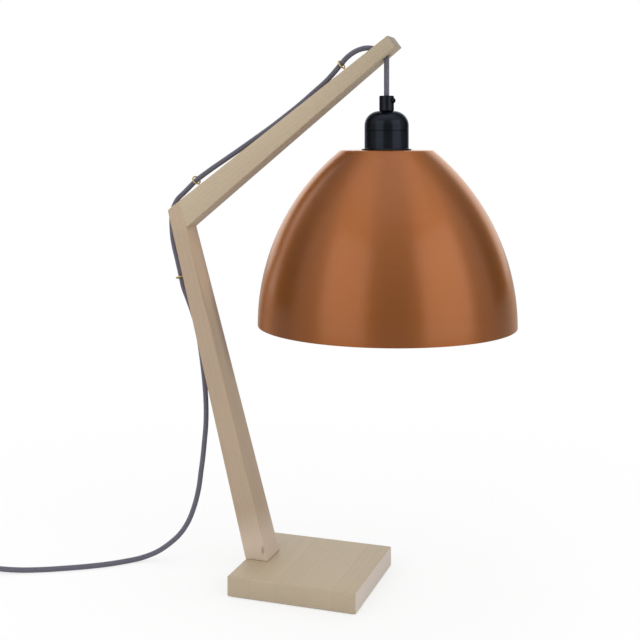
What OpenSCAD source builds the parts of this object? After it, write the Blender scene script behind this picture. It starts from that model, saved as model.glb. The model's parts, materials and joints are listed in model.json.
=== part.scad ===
// A table lamp. A wooden post leans outwards from a square base, a wooden arm rises from the
// post's top, and a metal dome hangs under the arm's tip on its own textile flex.
// The origin is the centre of the face that the lamp rests on. +Z is up, +X points from the
// post towards the dome, and sizes are in millimetres.

/* [Base] */
// Side of the square base board
base_w = 144; // [120:1:200]
// Thickness of the base board
base_t = 21.5; // [16:0.5:32]
// Radius of the board's upright corners
base_corner_r = 2; // [1:0.5:8]
// Thickness of the felt under the board
felt_t = 1; // [0.5:0.5:3]
// Distance from the board's edge in to the felt's edge
felt_inset = 3; // [1:0.5:12]
// Diameter of the screws that hold the post on the base
base_screw_d = 4.5; // [3:0.5:6]
// Length of the screws that hold the post on the base
base_screw_len = 42; // [36:1:60]
// Diameter of the countersunk heads of these screws
base_screw_head_d = 9; // [7:0.5:12]
// Distance between the two screws
base_screw_gap = 18; // [14:1:24]

/* [Post] */
// Width of the post's foot, along X
post_foot_w = 26.5; // [22:0.5:36]
// Depth of the post's foot, along Y
post_foot_d = 38.5; // [32:0.5:60]
// Width of the post at the knee, along X
post_top_w = 19; // [16:0.5:26]
// Depth of the post at the knee, and of the arm
post_top_d = 28.5; // [24:0.5:32]
// Height of the knee's inner corner above the base
post_rise = 367; // [320:1:420]
// Lean of the post's outer face from upright, in degrees
post_lean = 14.3; // [10:0.1:18]

/* [Arm] */
// Slope of the arm's top edge, in degrees
arm_pitch = 36.6; // [30:0.1:42]
// Length of the arm's top edge from above the knee's inner corner to its tip
arm_len = 317; // [290:1:350]
// Thickness of the arm at the knee
arm_knee_t = 30; // [26:0.5:36]
// Thickness of the arm at its tip
arm_tip_t = 15; // [13:0.5:20]
// Length of the post's own slanted top, from its outer corner to the joint
knee_tongue = 17; // [14:0.5:20]
// Diameter of the knee's dowels
dowel_d = 8; // [6:0.5:9]
// Depth of the knee's dowels in the post
dowel_post = 8; // [6:0.5:9]
// Depth of the knee's dowels in the arm
dowel_arm = 16; // [10:1:22]
// Distance between the two dowels
dowel_gap = 14; // [12:0.5:16]
// Diameter of the flex hole in the arm
hole_d = 9; // [8:0.5:12]
// Chamfer at the mouth of the flex hole
hole_chamfer = 1.5; // [1:0.25:3]
// Depth in the flex hole, from its lower mouth, where it starts to flare upwards
hole_flare_from = 8.5; // [7:0.5:12]
// Distance from the arm's lower tip edge to the flex hole
hole_from_tip = 17.5; // [14:0.5:30]

/* [Screw eyes] */
// Inner diameter of an eye's ring
eye_bore = 7.8; // [6.6:0.2:10]
// Thickness of an eye's wire
eye_wire = 1.8; // [1.2:0.2:2.4]
// Height of the ring's centre above the wood
eye_height = 9.5; // [8:0.5:14]
// Depth of an eye's screw in the wood
eye_screw_len = 9; // [6:0.5:11]
// Distance of the upper eye from the arm's tip
eye_upper_at = 62.5; // [55:0.5:120]
// Distance of the lower eye from the arm's tip
eye_lower_at = 280; // [240:1:290]
// Distance of the post's eye from the foot, along the post
eye_post_at = 320.5; // [260:0.5:335]
// Turn of the upper eye about its screw
eye_upper_turn = -12; // [-25:1:25]
// Turn of the lower eye about its screw
eye_lower_turn = -24; // [-25:1:25]
// Turn of the post's eye about its screw
eye_post_turn = 12; // [-25:1:25]

/* [Flex] */
// Diameter of the textile flex
flex_d = 5.8; // [5:0.1:6.4]
// Free length of flex between the arm's hole and the cord grip
flex_hang = 41.5; // [30:0.5:80]
// Length of flex that the cord grip holds at its mouth
flex_in_grip = 6; // [4:0.5:7]
// Gap between the bending stretch of flex and its neighbours
bend_gap = 0.3; // [0.2:0.05:0.6]

/* [Cord grip] */
// Diameter of the cord grip
grip_d = 16; // [14:0.5:22]
// Height of the cord grip
grip_h = 16.5; // [16:0.5:24]
// Diameter of the grip's side screw
grip_screw_d = 3; // [2.5:0.5:4]
// Diameter of the side screw's head
grip_screw_head_d = 5.8; // [4.6:0.2:7]
// Thickness of the side screw's head
grip_screw_head_t = 2; // [1:0.25:3]
// Distance of the side screw below the grip's top
grip_screw_drop = 5.3; // [4:0.1:6.5]
// Direction of the side screw about the flex, in degrees
grip_screw_turn = -17; // [-180:1:180]
// Diameter of the threaded nipple
nipple_d = 10; // [9:0.5:11]
// Bore of the nipple
nipple_bore = 7.2; // [6.8:0.1:8]
// Length of the nipple in the grip
nipple_in_grip = 8; // [5:0.5:9]
// Length of the nipple in the holder's cap
nipple_in_cap = 5; // [3:0.5:6]

/* [Lamp holder] */
// Diameter of the holder's cap and skirt
holder_d = 48; // [46:0.5:60]
// Height of the domed cap
cap_h = 21; // [20:0.5:30]
// Radius of the cap's rounded shoulder
cap_shoulder_r = 16; // [12:0.5:17]
// Wall of the cap
cap_wall = 2; // [1.5:0.25:2.5]
// Height of the skirt with its flange
skirt_h = 21.5; // [18:0.5:30]
// Diameter of the flange that rests on the shade
flange_d = 54; // [50:0.5:70]
// Thickness of the flange
flange_t = 1.5; // [1:0.25:3]
// Diameter of the threaded sleeve below the flange
sleeve_d = 39; // [38:0.5:41]
// Length of the threaded sleeve
sleeve_len = 24; // [20:0.5:30]
// Diameter of the ceramic insert
insert_d = 34; // [32:0.5:35]
// Distance from the sleeve's lower end up to the insert's lower end
insert_lift = 6; // [3:0.5:8]
// Width of the collar that carries the insert
collar_out = 2.5; // [1.5:0.25:3]
// Thickness of the collar
collar_t = 2.5; // [2:0.25:3]
// Depth of the socket in the insert
socket_depth = 32; // [30:0.5:34]
// Outer diameter of the screw shell
shell_d = 28.6; // [28:0.1:29.4]
// Wall of the screw shell
shell_t = 0.8; // [0.5:0.1:1]
// Length of the screw shell
shell_len = 25; // [22:0.5:27]
// Diameter of the centre contact
contact_d = 8; // [6:0.5:10]
// Height of the centre contact
contact_t = 3; // [2:0.25:3.5]
// Distance of a terminal screw from the axis
terminal_out = 9; // [7:0.5:11]
// Diameter of a terminal screw
terminal_d = 3; // [2.5:0.5:4]
// Depth of a terminal screw in the insert
terminal_len = 6; // [4:0.5:8]
// Diameter of a terminal screw's head
terminal_head_d = 5.6; // [5:0.2:7]
// Thickness of a terminal screw's head
terminal_head_t = 2; // [1.5:0.25:2.5]
// Diameter of one insulated core of the flex
core_d = 1.8; // [1.4:0.1:2.2]

/* [Shade] */
// Radius of the shade's open rim
shade_rim_r = 140; // [110:1:160]
// Radius of the shade's flat top
shade_top_r = 50; // [40:1:70]
// Height of the shade
shade_h = 189; // [150:1:210]
// Thickness of the shade's metal
shade_t = 0.8; // [0.6:0.1:1.5]
// Height of the ring that clamps the shade
ring_h = 10; // [6:0.5:14]
// Diameter of the ring that clamps the shade
ring_d = 54; // [46:0.5:64]

/* [Bulb] */
// Diameter of the glass bulb
bulb_d = 60; // [45:1:70]
// Length of the bulb with its cap
bulb_len = 106; // [95:1:120]
// Thickness of the glass
glass_t = 1.2; // [0.8:0.1:2]
// Diameter of the bulb's screw cap
bulb_cap_d = 26.2; // [25.6:0.1:26.6]
// Height of the bulb's cap with its contact
bulb_cap_h = 27; // [24:0.5:30]
// Wall of the bulb's cap
bulb_cap_t = 0.6; // [0.4:0.1:1]
// Diameter of the bulb's end contact
bulb_tip_d = 9; // [7:0.5:11]
// Height of the bulb's end contact
bulb_tip_h = 2; // [1:0.25:3]
// Height of the slope between the end contact and the cap
bulb_slope_h = 5; // [3:0.5:7]

/* [Switch] */
// Length of the inline switch
switch_len = 62; // [60:1:76]
// Width of the inline switch
switch_w = 27; // [26:0.5:34]
// Height of the inline switch
switch_h = 17; // [16:0.5:20]
// Height of the joint between its two halves, which is also the flex's axis
switch_split = 8.5; // [8:0.25:9]
// Wall of the switch
switch_wall = 1.8; // [1.4:0.1:2]
// Radius of the switch's upright corners
switch_corner_r = 8; // [4:0.5:12]
// Length of flex that the switch holds
flex_in_switch = 6; // [4:0.5:8]
// Radius of the rocker about its pin
rocker_r = 14; // [13:0.25:14.5]
// Width of the rocker
rocker_w = 11; // [8:0.5:12]
// Half length of the rocker's widest part
rocker_reach = 12.5; // [11:0.25:12.5]
// Half length of the rocker's underside
rocker_under = 9; // [7:0.5:9.5]
// Depth of the rocker below its pin
rocker_drop = 3; // [2:0.25:3.25]
// Height of the rocker's top above its pin, at the middle
rocker_top = 10.2; // [9.5:0.1:11]
// Rise of the rocker's top from its middle to its ends
rocker_dish = 1.8; // [0.6:0.2:2.4]
// Diameter of the rocker's pin
rocker_pin_d = 3; // [2:0.25:4]
// Length of each end of the rocker's pin
rocker_pin_len = 2.5; // [1.5:0.25:2.5]
// Gap between the rocker and the cover
rocker_gap = 0.5; // [0.4:0.05:0.8]
// Thickness of the lugs that hold the rocker's pin
lug_t = 2.6; // [1.5:0.1:3]
// Length of the lugs that hold the rocker's pin
lug_len = 8; // [6:0.5:10]
// Diameter of the screws that hold the switch together
switch_screw_d = 2.5; // [2:0.25:3]
// Length of these screws with their heads
switch_screw_len = 12; // [10.5:0.5:14]
// Diameter of the heads of these screws
switch_screw_head_d = 5; // [4:0.25:5.5]
// Thickness of the heads of these screws
switch_screw_head_t = 2; // [1.5:0.25:2.5]
// Diameter of the bosses for these screws
switch_boss_d = 7; // [6:0.25:7.5]
// Distance of a boss from the switch's middle, along the flex
switch_boss_x = 20; // [18:0.5:21]
// Distance of a boss from the switch's middle, across the flex
switch_boss_y = 8; // [7.5:0.25:8.5]
// Length of a contact strip
strip_len = 18; // [12:0.5:20]
// Width of a contact strip
strip_w = 3; // [2:0.25:3.5]
// Thickness of a contact strip
strip_t = 0.8; // [0.5:0.1:1]
// Height of the upright tab of a contact strip
strip_tab_h = 4; // [3:0.25:4.5]
// Distance of a contact strip's end from the switch's middle
strip_end = 16.5; // [16:0.25:17]
// Distance of a contact strip from the flex's axis
strip_out = 2.5; // [2.25:0.25:3]

/* [Plug] */
// Length of the plug's body
plug_len = 36; // [34:0.5:44]
// Width of the plug's face
plug_w = 35; // [33:0.5:40]
// Width of the plug's body at the flex
plug_rear_w = 16; // [14:0.5:20]
// Length of the plug's straight front
plug_front_len = 16; // [12:0.5:20]
// Thickness of the plug
plug_t = 14; // [13:0.5:18]
// Diameter of a plug pin
pin_d = 4; // [3.5:0.1:4.8]
// Length of a plug pin outside the body
pin_len = 19; // [17:0.5:20]
// Length of a plug pin inside the body
pin_root = 9; // [7:0.5:12]
// Diameter of a plug pin inside the body
pin_root_d = 3; // [2.5:0.1:3.4]
// Chamfer at a plug pin's end
pin_chamfer = 1; // [0.5:0.25:1.5]
// Distance between the plug pins
pin_gap = 19; // [17:0.5:20]
// Length of the sleeve outside the plug's body
sleeve_out = 22; // [16:0.5:30]
// Length of the sleeve inside the plug's body
sleeve_root = 7; // [5:0.5:9]
// Diameter of the sleeve at the body
sleeve_big_d = 11; // [10:0.5:13]
// Diameter of the sleeve at its thin end, and inside the body
sleeve_small_d = 8.4; // [7.8:0.1:9.5]
// Length of flex that the sleeve holds
flex_in_sleeve = 20; // [10:0.5:24]

/* [Fits] */
// Clearance round a shaft that turns in a bore
run_fit = 0.05; // [0.03:0.01:0.08]
// Clearance round a piece that is seated in a hole
seat_fit = 0.1; // [0.06:0.01:0.15]
// Clearance between the sleeve and the shade's hole
shade_fit = 0.5; // [0.2:0.1:1]
// Clearance between the cap and the skirt's spigot
spigot_fit = 0.2; // [0.1:0.05:0.3]
// Clearance round the flex where it is held
flex_fit = 0.15; // [0.1:0.05:0.3]

/* [Coil] */
// Radius at which the coil begins
coil_r = 45; // [40:1:60]
// Distance between neighbouring turns of a layer
coil_pitch = 7.4; // [7.3:0.1:9]
// Rise from the lower layer of the coil to the upper one
coil_rise = 6.6; // [6.5:0.1:9]
// Turns of the lower layer
coil_turns = 2.25; // [1.25:1:3.25]

/* [Hidden] */
$fn = 96;
cut = 1;
flex_r = flex_d / 2;

// Turns a vector into one of length 1
function unit(v) = v / norm(v);

// Point where the line from p along u meets the line from q along v, in a plane
function meet(p, u, q, v) = p + u * cross(q - p, v) / cross(u, v);

// Puts a point of the XZ plane into space
function in_space(p, y = 0) = [p.x, y, p.y];

// Outline of the stand, in the XZ plane
base_top = felt_t + base_t;
foot_outer = [-base_w / 2, base_top];
foot_inner = foot_outer + [post_foot_w, 0];
post_up = [-sin(post_lean), cos(post_lean)];
knee_inner = foot_outer + post_up * post_rise / cos(post_lean) + [post_top_w, 0];
arm_along = [cos(arm_pitch), sin(arm_pitch)];
arm_up = [-sin(arm_pitch), cos(arm_pitch)];
edge_start = knee_inner + arm_up * arm_knee_t;
tip_high = edge_start + arm_along * arm_len;
tip_low = tip_high - arm_up * arm_tip_t;
knee_outer = meet(foot_outer, post_up, edge_start, arm_along);
joint_top = knee_outer + arm_along * knee_tongue;
joint_mid = (knee_inner + joint_top) / 2;
joint_line = joint_top - knee_inner;
joint_pitch = atan2(joint_line.y, joint_line.x);
under_along = unit(tip_low - knee_inner);
under_pitch = atan2(under_along.y, under_along.x);
under_up = [-under_along.y, under_along.x];
hole_mouth = tip_low - under_along * hole_from_tip;
pivot = in_space(hole_mouth);
stand_d = max(post_foot_d, post_top_d) + 2 * cut;

// Heights in the pendant, from the shade's top
cap_seat = skirt_h;
cap_top = cap_seat + cap_h;
grip_top = cap_top + grip_h;
shade_top_z = pivot.z - flex_hang - grip_top;
spigot_h = cap_h - cap_shoulder_r;
insert_top = cap_seat + spigot_h + collar_t;
insert_low = insert_lift - sleeve_len;
socket_roof = insert_low + socket_depth;
bulb_top = socket_roof - contact_t;
bulb_neck = bulb_top - bulb_cap_h;
bulb_centre = bulb_top - bulb_len + bulb_d / 2;
shell_low = bulb_neck + shell_t;
core_start = cap_top - nipple_in_cap - seat_fit;
core_end = insert_top + terminal_head_t + core_d / 2;

// Radii in the pendant
holder_r = holder_d / 2;
holder_bore_r = insert_d / 2 + seat_fit;
spigot_r = holder_r - cap_wall - spigot_fit;
shell_seat_r = shell_d / 2 + seat_fit;
shade_arc_r = (pow(shade_rim_r - shade_top_r, 2) + pow(shade_h, 2)) / (2 * (shade_rim_r - shade_top_r));

// Places of the switch, the coil and the plug, which lie on the floor beside the lamp
lead_y = -100;
switch_at = [-408, lead_y, 0];
floor_gap = 0.1;
flex_floor = flex_r + floor_gap;
coil_centre = [-500, lead_y + coil_r];
coil_ring = 24;
coil_reverse = 0.5;
coil_upper_turns = coil_turns + 0.25;
coil_steps = coil_ring * (coil_turns + coil_reverse + coil_upper_turns);
coil_inner_r = coil_r - coil_pitch * coil_turns;

// Radius of the coil's centre line after a number of turns
function coil_radius(turn) =
    turn < coil_turns ? coil_r - coil_pitch * turn
    : turn < coil_turns + coil_reverse ? coil_inner_r
    : coil_inner_r + coil_pitch * (turn - coil_turns - coil_reverse);

// Share of the climb from the lower layer to the upper one after a number of turns
function coil_climb(turn) =
    let(part = min(1, max(0, (turn - coil_turns) / coil_reverse)))
    (1 - cos(180 * part)) / 2;

// Point of the coil's centre line after a number of turns, wound clockwise from its near side
function coil_point(turn) =
    let(angle = -90 - 360 * turn, r = coil_radius(turn))
    [coil_centre.x + r * cos(angle), coil_centre.y + r * sin(angle), flex_floor + coil_rise * coil_climb(turn)];

coil_loops = [for (i = [0:coil_steps]) coil_point(i / coil_ring)];
coil_start = coil_loops[0] + [flex_d, 0, 0];
coil_end = coil_loops[coil_steps] + [0, flex_d, 0];
coil_route = concat([coil_start], coil_loops, [coil_end]);

// Least gap between the coil's turns: points at least half a loop apart, less the flex's diameter
coil_gap = min([
    for (i = [0:coil_steps - coil_ring / 2])
        for (j = [i + coil_ring / 2:coil_steps])
            norm(coil_loops[i] - coil_loops[j])
]) - flex_d;
echo(coil_gap = coil_gap);

plug_axis_z = plug_t / 2;
plug_at = [coil_end.x, 10, 0];
sleeve_tip_y = plug_at.y - sleeve_out;

// Route of the flex from the arm's hole, over the arm and through the eyes, to the post's eye
arm_route = concat(
    [in_space(hole_mouth + under_up * (flex_r + bend_gap))],
    [
        [80.5, 0, 584.5], [75.8, 0, 587.5], [70.5, 0, 589.5], [64.9, 0, 590.4], [59.3, 0, 590],
        [53.2, 0, 588.3], [46.5, 0, 585], [40.5, 0, 580.5], [34.3, 0, 574], [27.3, 0, 566],
        [17, 0, 555.3], [3, 0, 543.5], [-14, 0, 529.5], [-32, 0, 516], [-48, 0, 504.5],
        [-62, 0, 495], [-78, 0, 484.5], [-92, 0, 475.3], [-108, 0, 465], [-122, 0, 456],
        [-140.5, 0, 443], [-148.5, 1.5, 436.3], [-157.5, 3.8, 428.6], [-166.2, 6.4, 421.7], [-170.6, 7.5, 416],
        [-173.9, 8, 409], [-175.3, 7.8, 401.2], [-175.3, 7.3, 393.5], [-174.5, 6.5, 384.5], [-172.6, 4.8, 374.5],
        [-169.4, 2.9, 363.5], [-165.6, 1.2, 352.5], [-162.2, 0, 341.5], [-159.5, 0, 330.5]
    ]
);

// Route of the flex from the post's eye down to the floor and along it to the switch
mains_route = [
    [-159.5, 0, 330.5], [-156.8, 0, 319.5], [-151.2, 0, 306], [-145.6, 0, 292], [-141.2, 0, 279],
    [-137.4, 0, 263], [-134.4, 0, 245], [-131.5, 0, 224], [-129.5, 0, 205], [-128.5, 0, 190],
    [-128.2, 0, 176], [-128.7, 0, 161], [-130.3, 0, 144], [-132.2, 0, 126], [-134.7, 0, 108],
    [-137.7, 0, 88], [-142.7, 0, 69], [-150.3, 0, 50], [-160.9, 0, 34], [-173.9, -1, 21.5],
    [-189.4, -3, 10.5], [-206, -10, 4], [-219, -22.5, 3], [-235, -38, 3], [-254, -52, 3], [-275, -65, 3],
    [-297, -77, 3], [-320, -87.5, 3.5], [-342, -95, 5], [-360, -99, 7.5], [-372, -100, 8.5],
    [-383, -100, 8.5]
];

// Route of the flex from the switch to the coil
switch_route = [
    [-433, -100, 8.5], [-445, -100, 8.5], [-458, -100, 7], [-474, -100, 4.5], [-486, -100, 3],
    coil_start
];

// Route of the flex from the coil into the plug's sleeve
tail_route = [
    coil_end,
    [coil_end.x, -42, coil_end.z],
    [coil_end.x, -28, (coil_end.z + plug_axis_z) / 2],
    [coil_end.x, -18, plug_axis_z],
    [coil_end.x, sleeve_tip_y + flex_in_sleeve, plug_axis_z]
];

// Colours
beech = "#cdb592";
felt_grey = "#3a3a3c";
steel = "#b9bcc0";
brass = "#c9b27a";
flex_grey = "#5f5a66";
black = "#1d1d20";
copper = "#a9683f";
ceramic = "#e9e6df";
clear_glass = "#eef1f2";
white = "#f4f3ef";

// Extrudes an outline of the XZ plane along Y, to both sides
module along_y(depth) {
    rotate([90, 0, 0]) linear_extrude(depth, center = true) children();
}

// Square with round corners, centred
module rounded_square(w, d, r) {
    square([w, d - 2 * r], center = true);
    square([w - 2 * r, d], center = true);
    for (x = [-1, 1], y = [-1, 1])
        translate([x * (w / 2 - r), y * (d / 2 - r)]) circle(r);
}

// Round bar from one point to another
module rod(from, to, d) {
    way = to - from;
    translate(from)
        rotate([0, acos(way.z / norm(way)), atan2(way.y, way.x)])
            cylinder(d = d, h = norm(way));
}

// Direction of a route at one of its points
function heading(route, i) = unit(route[min(i + 1, len(route) - 1)] - route[max(i - 1, 0)]);

// Corners of the tube's section at one point of a route, set out from a side direction
function section(route, i, side, d, sides) =
    let(u = unit(cross(heading(route, i), side)), v = cross(u, heading(route, i)))
    [for (k = [0:sides - 1]) route[i] + d / 2 * (cos(360 * k / sides) * u + sin(360 * k / sides) * v)];

// Tube swept along a route, closed at both ends
module tube(route, side, d, sides) {
    last = (len(route) - 1) * sides;
    points = [for (i = [0:len(route) - 1]) each section(route, i, side, d, sides)];
    walls = [
        for (i = [0:len(route) - 2])
            for (k = [0:sides - 1])
                let(a = i * sides + k, b = i * sides + (k + 1) % sides)
                each [[a, b, b + sides], [a, b + sides, a + sides]]
    ];
    first_cap = [for (k = [1:sides - 2]) [0, k + 1, k]];
    last_cap = [for (k = [1:sides - 2]) [last, last + k, last + k + 1]];
    polyhedron(points, concat(walls, first_cap, last_cap));
}

// Place of a base screw, on the board's underside
module at_base_screw(side) {
    translate([foot_outer.x + post_foot_w / 2, side * base_screw_gap / 2, felt_t]) children();
}

// Countersunk wood screw, or its hole when it is given a clearance
module base_screw(fit = 0) {
    head_h = (base_screw_head_d - base_screw_d) / 2;
    cylinder(d1 = base_screw_head_d + 2 * fit, d2 = base_screw_d + 2 * fit, h = head_h);
    cylinder(d = base_screw_d + 2 * fit, h = base_screw_len + fit);
}

// Place of a knee dowel, on the joint and pointing into the arm
module at_dowel(side) {
    translate(in_space(joint_mid, side * dowel_gap / 2)) rotate([0, 180 - joint_pitch, 0]) children();
}

// Knee dowel, or its hole when it is given a clearance
module dowel(fit = 0) {
    translate([0, 0, -dowel_post - fit])
        cylinder(d = dowel_d + 2 * fit, h = dowel_post + dowel_arm + 2 * fit);
}

// Place on the arm's top edge, at a distance from its tip
module on_arm(from_tip) {
    translate(in_space(tip_high - arm_along * from_tip)) rotate([0, -arm_pitch, 0]) children();
}

// Place on the post's outer face, at a distance from its foot
module on_post(from_foot) {
    translate(in_space(foot_outer + post_up * from_foot)) rotate([0, -90 - post_lean, 0]) children();
}

// Hole for an eye's screw
module eye_hole() {
    translate([0, 0, -eye_screw_len - seat_fit])
        cylinder(d = eye_wire + 2 * seat_fit, h = eye_screw_len + seat_fit + cut);
}

// Screw eye: a ring across the flex, on a screw that goes into the wood
module screw_eye() {
    ring_r = (eye_bore + eye_wire) / 2;
    color(brass) {
        translate([0, 0, eye_height])
            rotate([0, 90, 0]) rotate_extrude() translate([ring_r, 0]) circle(d = eye_wire, $fn = 32);
        translate([0, 0, -eye_screw_len])
            cylinder(d = eye_wire, h = eye_screw_len + eye_height - ring_r, $fn = 32);
    }
}

module base() {
    color(beech) difference() {
        translate([0, 0, felt_t]) linear_extrude(base_t) rounded_square(base_w, base_w, base_corner_r);
        for (side = [-1, 1]) at_base_screw(side) base_screw(seat_fit);
    }
}

module felt_underlay() {
    felt_w = base_w - 2 * felt_inset;
    color(felt_grey) linear_extrude(felt_t) rounded_square(felt_w, felt_w, base_corner_r);
}

module base_screw_front() {
    color(steel) at_base_screw(-1) base_screw();
}

module base_screw_back() {
    color(steel) at_base_screw(1) base_screw();
}

// Outline of the post seen along X, in the YZ plane
module post_side() {
    foot = post_foot_d / 2;
    top = post_top_d / 2;
    polygon([
        [-foot, base_top], [foot, base_top], [top, knee_inner.y], [top, joint_top.y],
        [-top, joint_top.y], [-top, knee_inner.y]
    ]);
}

module post() {
    post_reach = base_w + norm(joint_top - foot_outer);
    color(beech) difference() {
        intersection() {
            along_y(stand_d) polygon([foot_outer, foot_inner, knee_inner, joint_top, knee_outer]);
            rotate([90, 0, 90]) linear_extrude(2 * post_reach, center = true) post_side();
        }
        for (side = [-1, 1]) {
            at_base_screw(side) base_screw(seat_fit);
            at_dowel(side) dowel(seat_fit);
        }
        on_post(eye_post_at) eye_hole();
    }
}

module knee_dowel_front() {
    color(beech) at_dowel(-1) dowel();
}

module knee_dowel_back() {
    color(beech) at_dowel(1) dowel();
}

// Flex hole through the arm, chamfered where the flex hangs out of it and flared where it bends back over the arm
module flex_hole() {
    translate(pivot) rotate([0, -under_pitch, 0]) {
        flare_h = arm_knee_t - hole_flare_from;
        translate([0, 0, -cut]) cylinder(d = hole_d, h = arm_knee_t + cut);
        cylinder(d1 = hole_d + 2 * hole_chamfer, d2 = hole_d, h = hole_chamfer);
        translate([0, 0, hole_flare_from]) cylinder(d1 = hole_d, d2 = hole_d + flare_h, h = flare_h);
    }
}

module arm() {
    color(beech) difference() {
        along_y(post_top_d) polygon([knee_inner, tip_low, tip_high, joint_top]);
        flex_hole();
        for (side = [-1, 1]) at_dowel(side) dowel(seat_fit);
        for (from_tip = [eye_upper_at, eye_lower_at]) on_arm(from_tip) eye_hole();
    }
}

module cable_eye_upper() {
    on_arm(eye_upper_at) rotate([0, 0, eye_upper_turn]) screw_eye();
}

module cable_eye_lower() {
    on_arm(eye_lower_at) rotate([0, 0, eye_lower_turn]) screw_eye();
}

module cable_eye_post() {
    on_post(eye_post_at) rotate([0, 0, eye_post_turn]) screw_eye();
}

module arm_flex() {
    color(flex_grey) tube(arm_route, [0, 1, 0], flex_d, 10);
}

module mains_lead() {
    color(flex_grey) tube(mains_route, [0, 1, 0], flex_d, 10);
}

// Hollow half of the switch, closed below, with lugs for the rocker's pin and bosses for the screws
module switch_half(height, wall) {
    inner_r = max(switch_corner_r - wall, wall);
    difference() {
        linear_extrude(height) rounded_square(switch_len, switch_w, switch_corner_r);
        translate([0, 0, wall])
            linear_extrude(height)
                rounded_square(switch_len - 2 * wall, switch_w - 2 * wall, inner_r);
    }
    for (side = [-1, 1]) {
        translate([-lug_len / 2, side * (rocker_w / 2 + rocker_gap + lug_t / 2) - lug_t / 2, wall / 2])
            cube([lug_len, lug_t, height - wall / 2]);
        translate([side * switch_boss_x, side * switch_boss_y, wall / 2])
            cylinder(d = switch_boss_d, h = height - wall / 2);
    }
}

// What is cut from both halves of the switch at their joint: the flex's holes and the pin's bore
module switch_bores() {
    translate([0, 0, switch_split]) {
        for (side = [0, 180])
            rotate([0, 0, side])
                translate([switch_len / 2 - flex_in_switch - cut, 0, 0])
                    rotate([0, 90, 0]) cylinder(d = flex_d + 2 * flex_fit, h = flex_in_switch + 2 * cut);
        rotate([90, 0, 0])
            cylinder(
                d = rocker_pin_d + 2 * run_fit,
                h = rocker_w + 2 * rocker_pin_len + 2 * seat_fit,
                center = true
            );
    }
}

// Place of a switch screw, with its head's face just inside the underside
module at_switch_screw(side) {
    translate([side * switch_boss_x, side * switch_boss_y, seat_fit]) children();
}

// Screw of the switch, or its hole when it is given a clearance
module switch_screw(fit = 0) {
    translate([0, 0, -fit - (fit > 0 ? cut : 0)])
        cylinder(d = switch_screw_head_d + 2 * fit, h = switch_screw_head_t + fit + (fit > 0 ? cut : 0));
    cylinder(d = switch_screw_d + 2 * fit, h = switch_screw_len + fit);
}

module switch_base() {
    color(black) translate(switch_at) difference() {
        switch_half(switch_split, switch_wall);
        switch_bores();
        for (side = [-1, 1]) at_switch_screw(side) switch_screw(seat_fit);
    }
}

module switch_cover() {
    roof_z = switch_h - switch_wall;
    window_half = sqrt(pow(rocker_r, 2) - pow(roof_z - switch_split, 2)) + rocker_gap;
    window_w = rocker_w + 2 * rocker_gap;
    color(black) translate(switch_at) difference() {
        translate([0, 0, switch_h]) mirror([0, 0, 1]) switch_half(switch_h - switch_split, switch_wall);
        switch_bores();
        for (side = [-1, 1]) at_switch_screw(side) switch_screw(seat_fit);
        translate([-window_half, -window_w / 2, roof_z - cut])
            cube([2 * window_half, window_w, switch_wall + 2 * cut]);
    }
}

// Outline of the rocker about its pin, in the XZ plane
module rocker_outline() {
    end_top = rocker_top + rocker_dish;
    intersection() {
        circle(rocker_r);
        polygon([
            [-rocker_under, -rocker_drop], [rocker_under, -rocker_drop], [rocker_reach, rocker_drop],
            [rocker_reach, end_top], [0, rocker_top], [-rocker_reach, end_top], [-rocker_reach, rocker_drop]
        ]);
    }
}

module switch_rocker() {
    color(black) translate(switch_at + [0, 0, switch_split]) {
        along_y(rocker_w) rocker_outline();
        rotate([90, 0, 0]) cylinder(d = rocker_pin_d, h = rocker_w + 2 * rocker_pin_len, center = true);
    }
}

module switch_screw_a() {
    color(steel) translate(switch_at) at_switch_screw(1) switch_screw();
}

module switch_screw_b() {
    color(steel) translate(switch_at) at_switch_screw(-1) switch_screw();
}

// Contact strip on the switch's floor, with an upright tab at its end
module contact_strip(side) {
    color(brass) translate(switch_at) rotate([0, 0, 90 - side * 90])
        translate([strip_end - strip_len, strip_out - strip_w / 2, switch_wall]) {
            cube([strip_len, strip_w, strip_t]);
            translate([strip_len - strip_t, 0, 0]) cube([strip_t, strip_w, strip_tab_h]);
        }
}

module switch_contact_a() {
    contact_strip(1);
}

module switch_contact_b() {
    contact_strip(-1);
}

module switch_lead() {
    color(flex_grey) tube(switch_route, [0, 1, 0], flex_d, 10);
}

module lead_coil() {
    color(flex_grey) tube(coil_route, [0, 0, 1], flex_d, 6);
}

module plug_tail() {
    color(flex_grey) tube(tail_route, [1, 0, 0], flex_d, 10);
}

// Place of the plug: its rear face on the flex's axis, with the pins along +Y
module at_plug() {
    translate(plug_at + [0, 0, plug_axis_z]) rotate([-90, 0, 0]) children();
}

module plug_sleeve() {
    color(black) at_plug() difference() {
        union() {
            translate([0, 0, -sleeve_out]) cylinder(d1 = sleeve_small_d, d2 = sleeve_big_d, h = sleeve_out);
            cylinder(d = sleeve_small_d, h = sleeve_root);
        }
        translate([0, 0, -sleeve_out - cut])
            cylinder(d = flex_d + 2 * flex_fit, h = sleeve_out + sleeve_root + 2 * cut);
    }
}

module plug_body() {
    rear = plug_rear_w / 2;
    front = plug_w / 2;
    taper_end = plug_len - plug_front_len;
    color(black) difference() {
        translate(plug_at) linear_extrude(plug_t) polygon([
            [-rear, 0], [rear, 0], [front, taper_end], [front, plug_len], [-front, plug_len], [-front, taper_end]
        ]);
        at_plug() {
            translate([0, 0, -cut]) cylinder(d = sleeve_small_d + 2 * seat_fit, h = sleeve_root + seat_fit + cut);
            for (side = [-1, 1])
                translate([side * pin_gap / 2, 0, plug_len - pin_root - seat_fit])
                    cylinder(d = pin_root_d + 2 * seat_fit, h = pin_root + seat_fit + cut);
        }
    }
}

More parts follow.
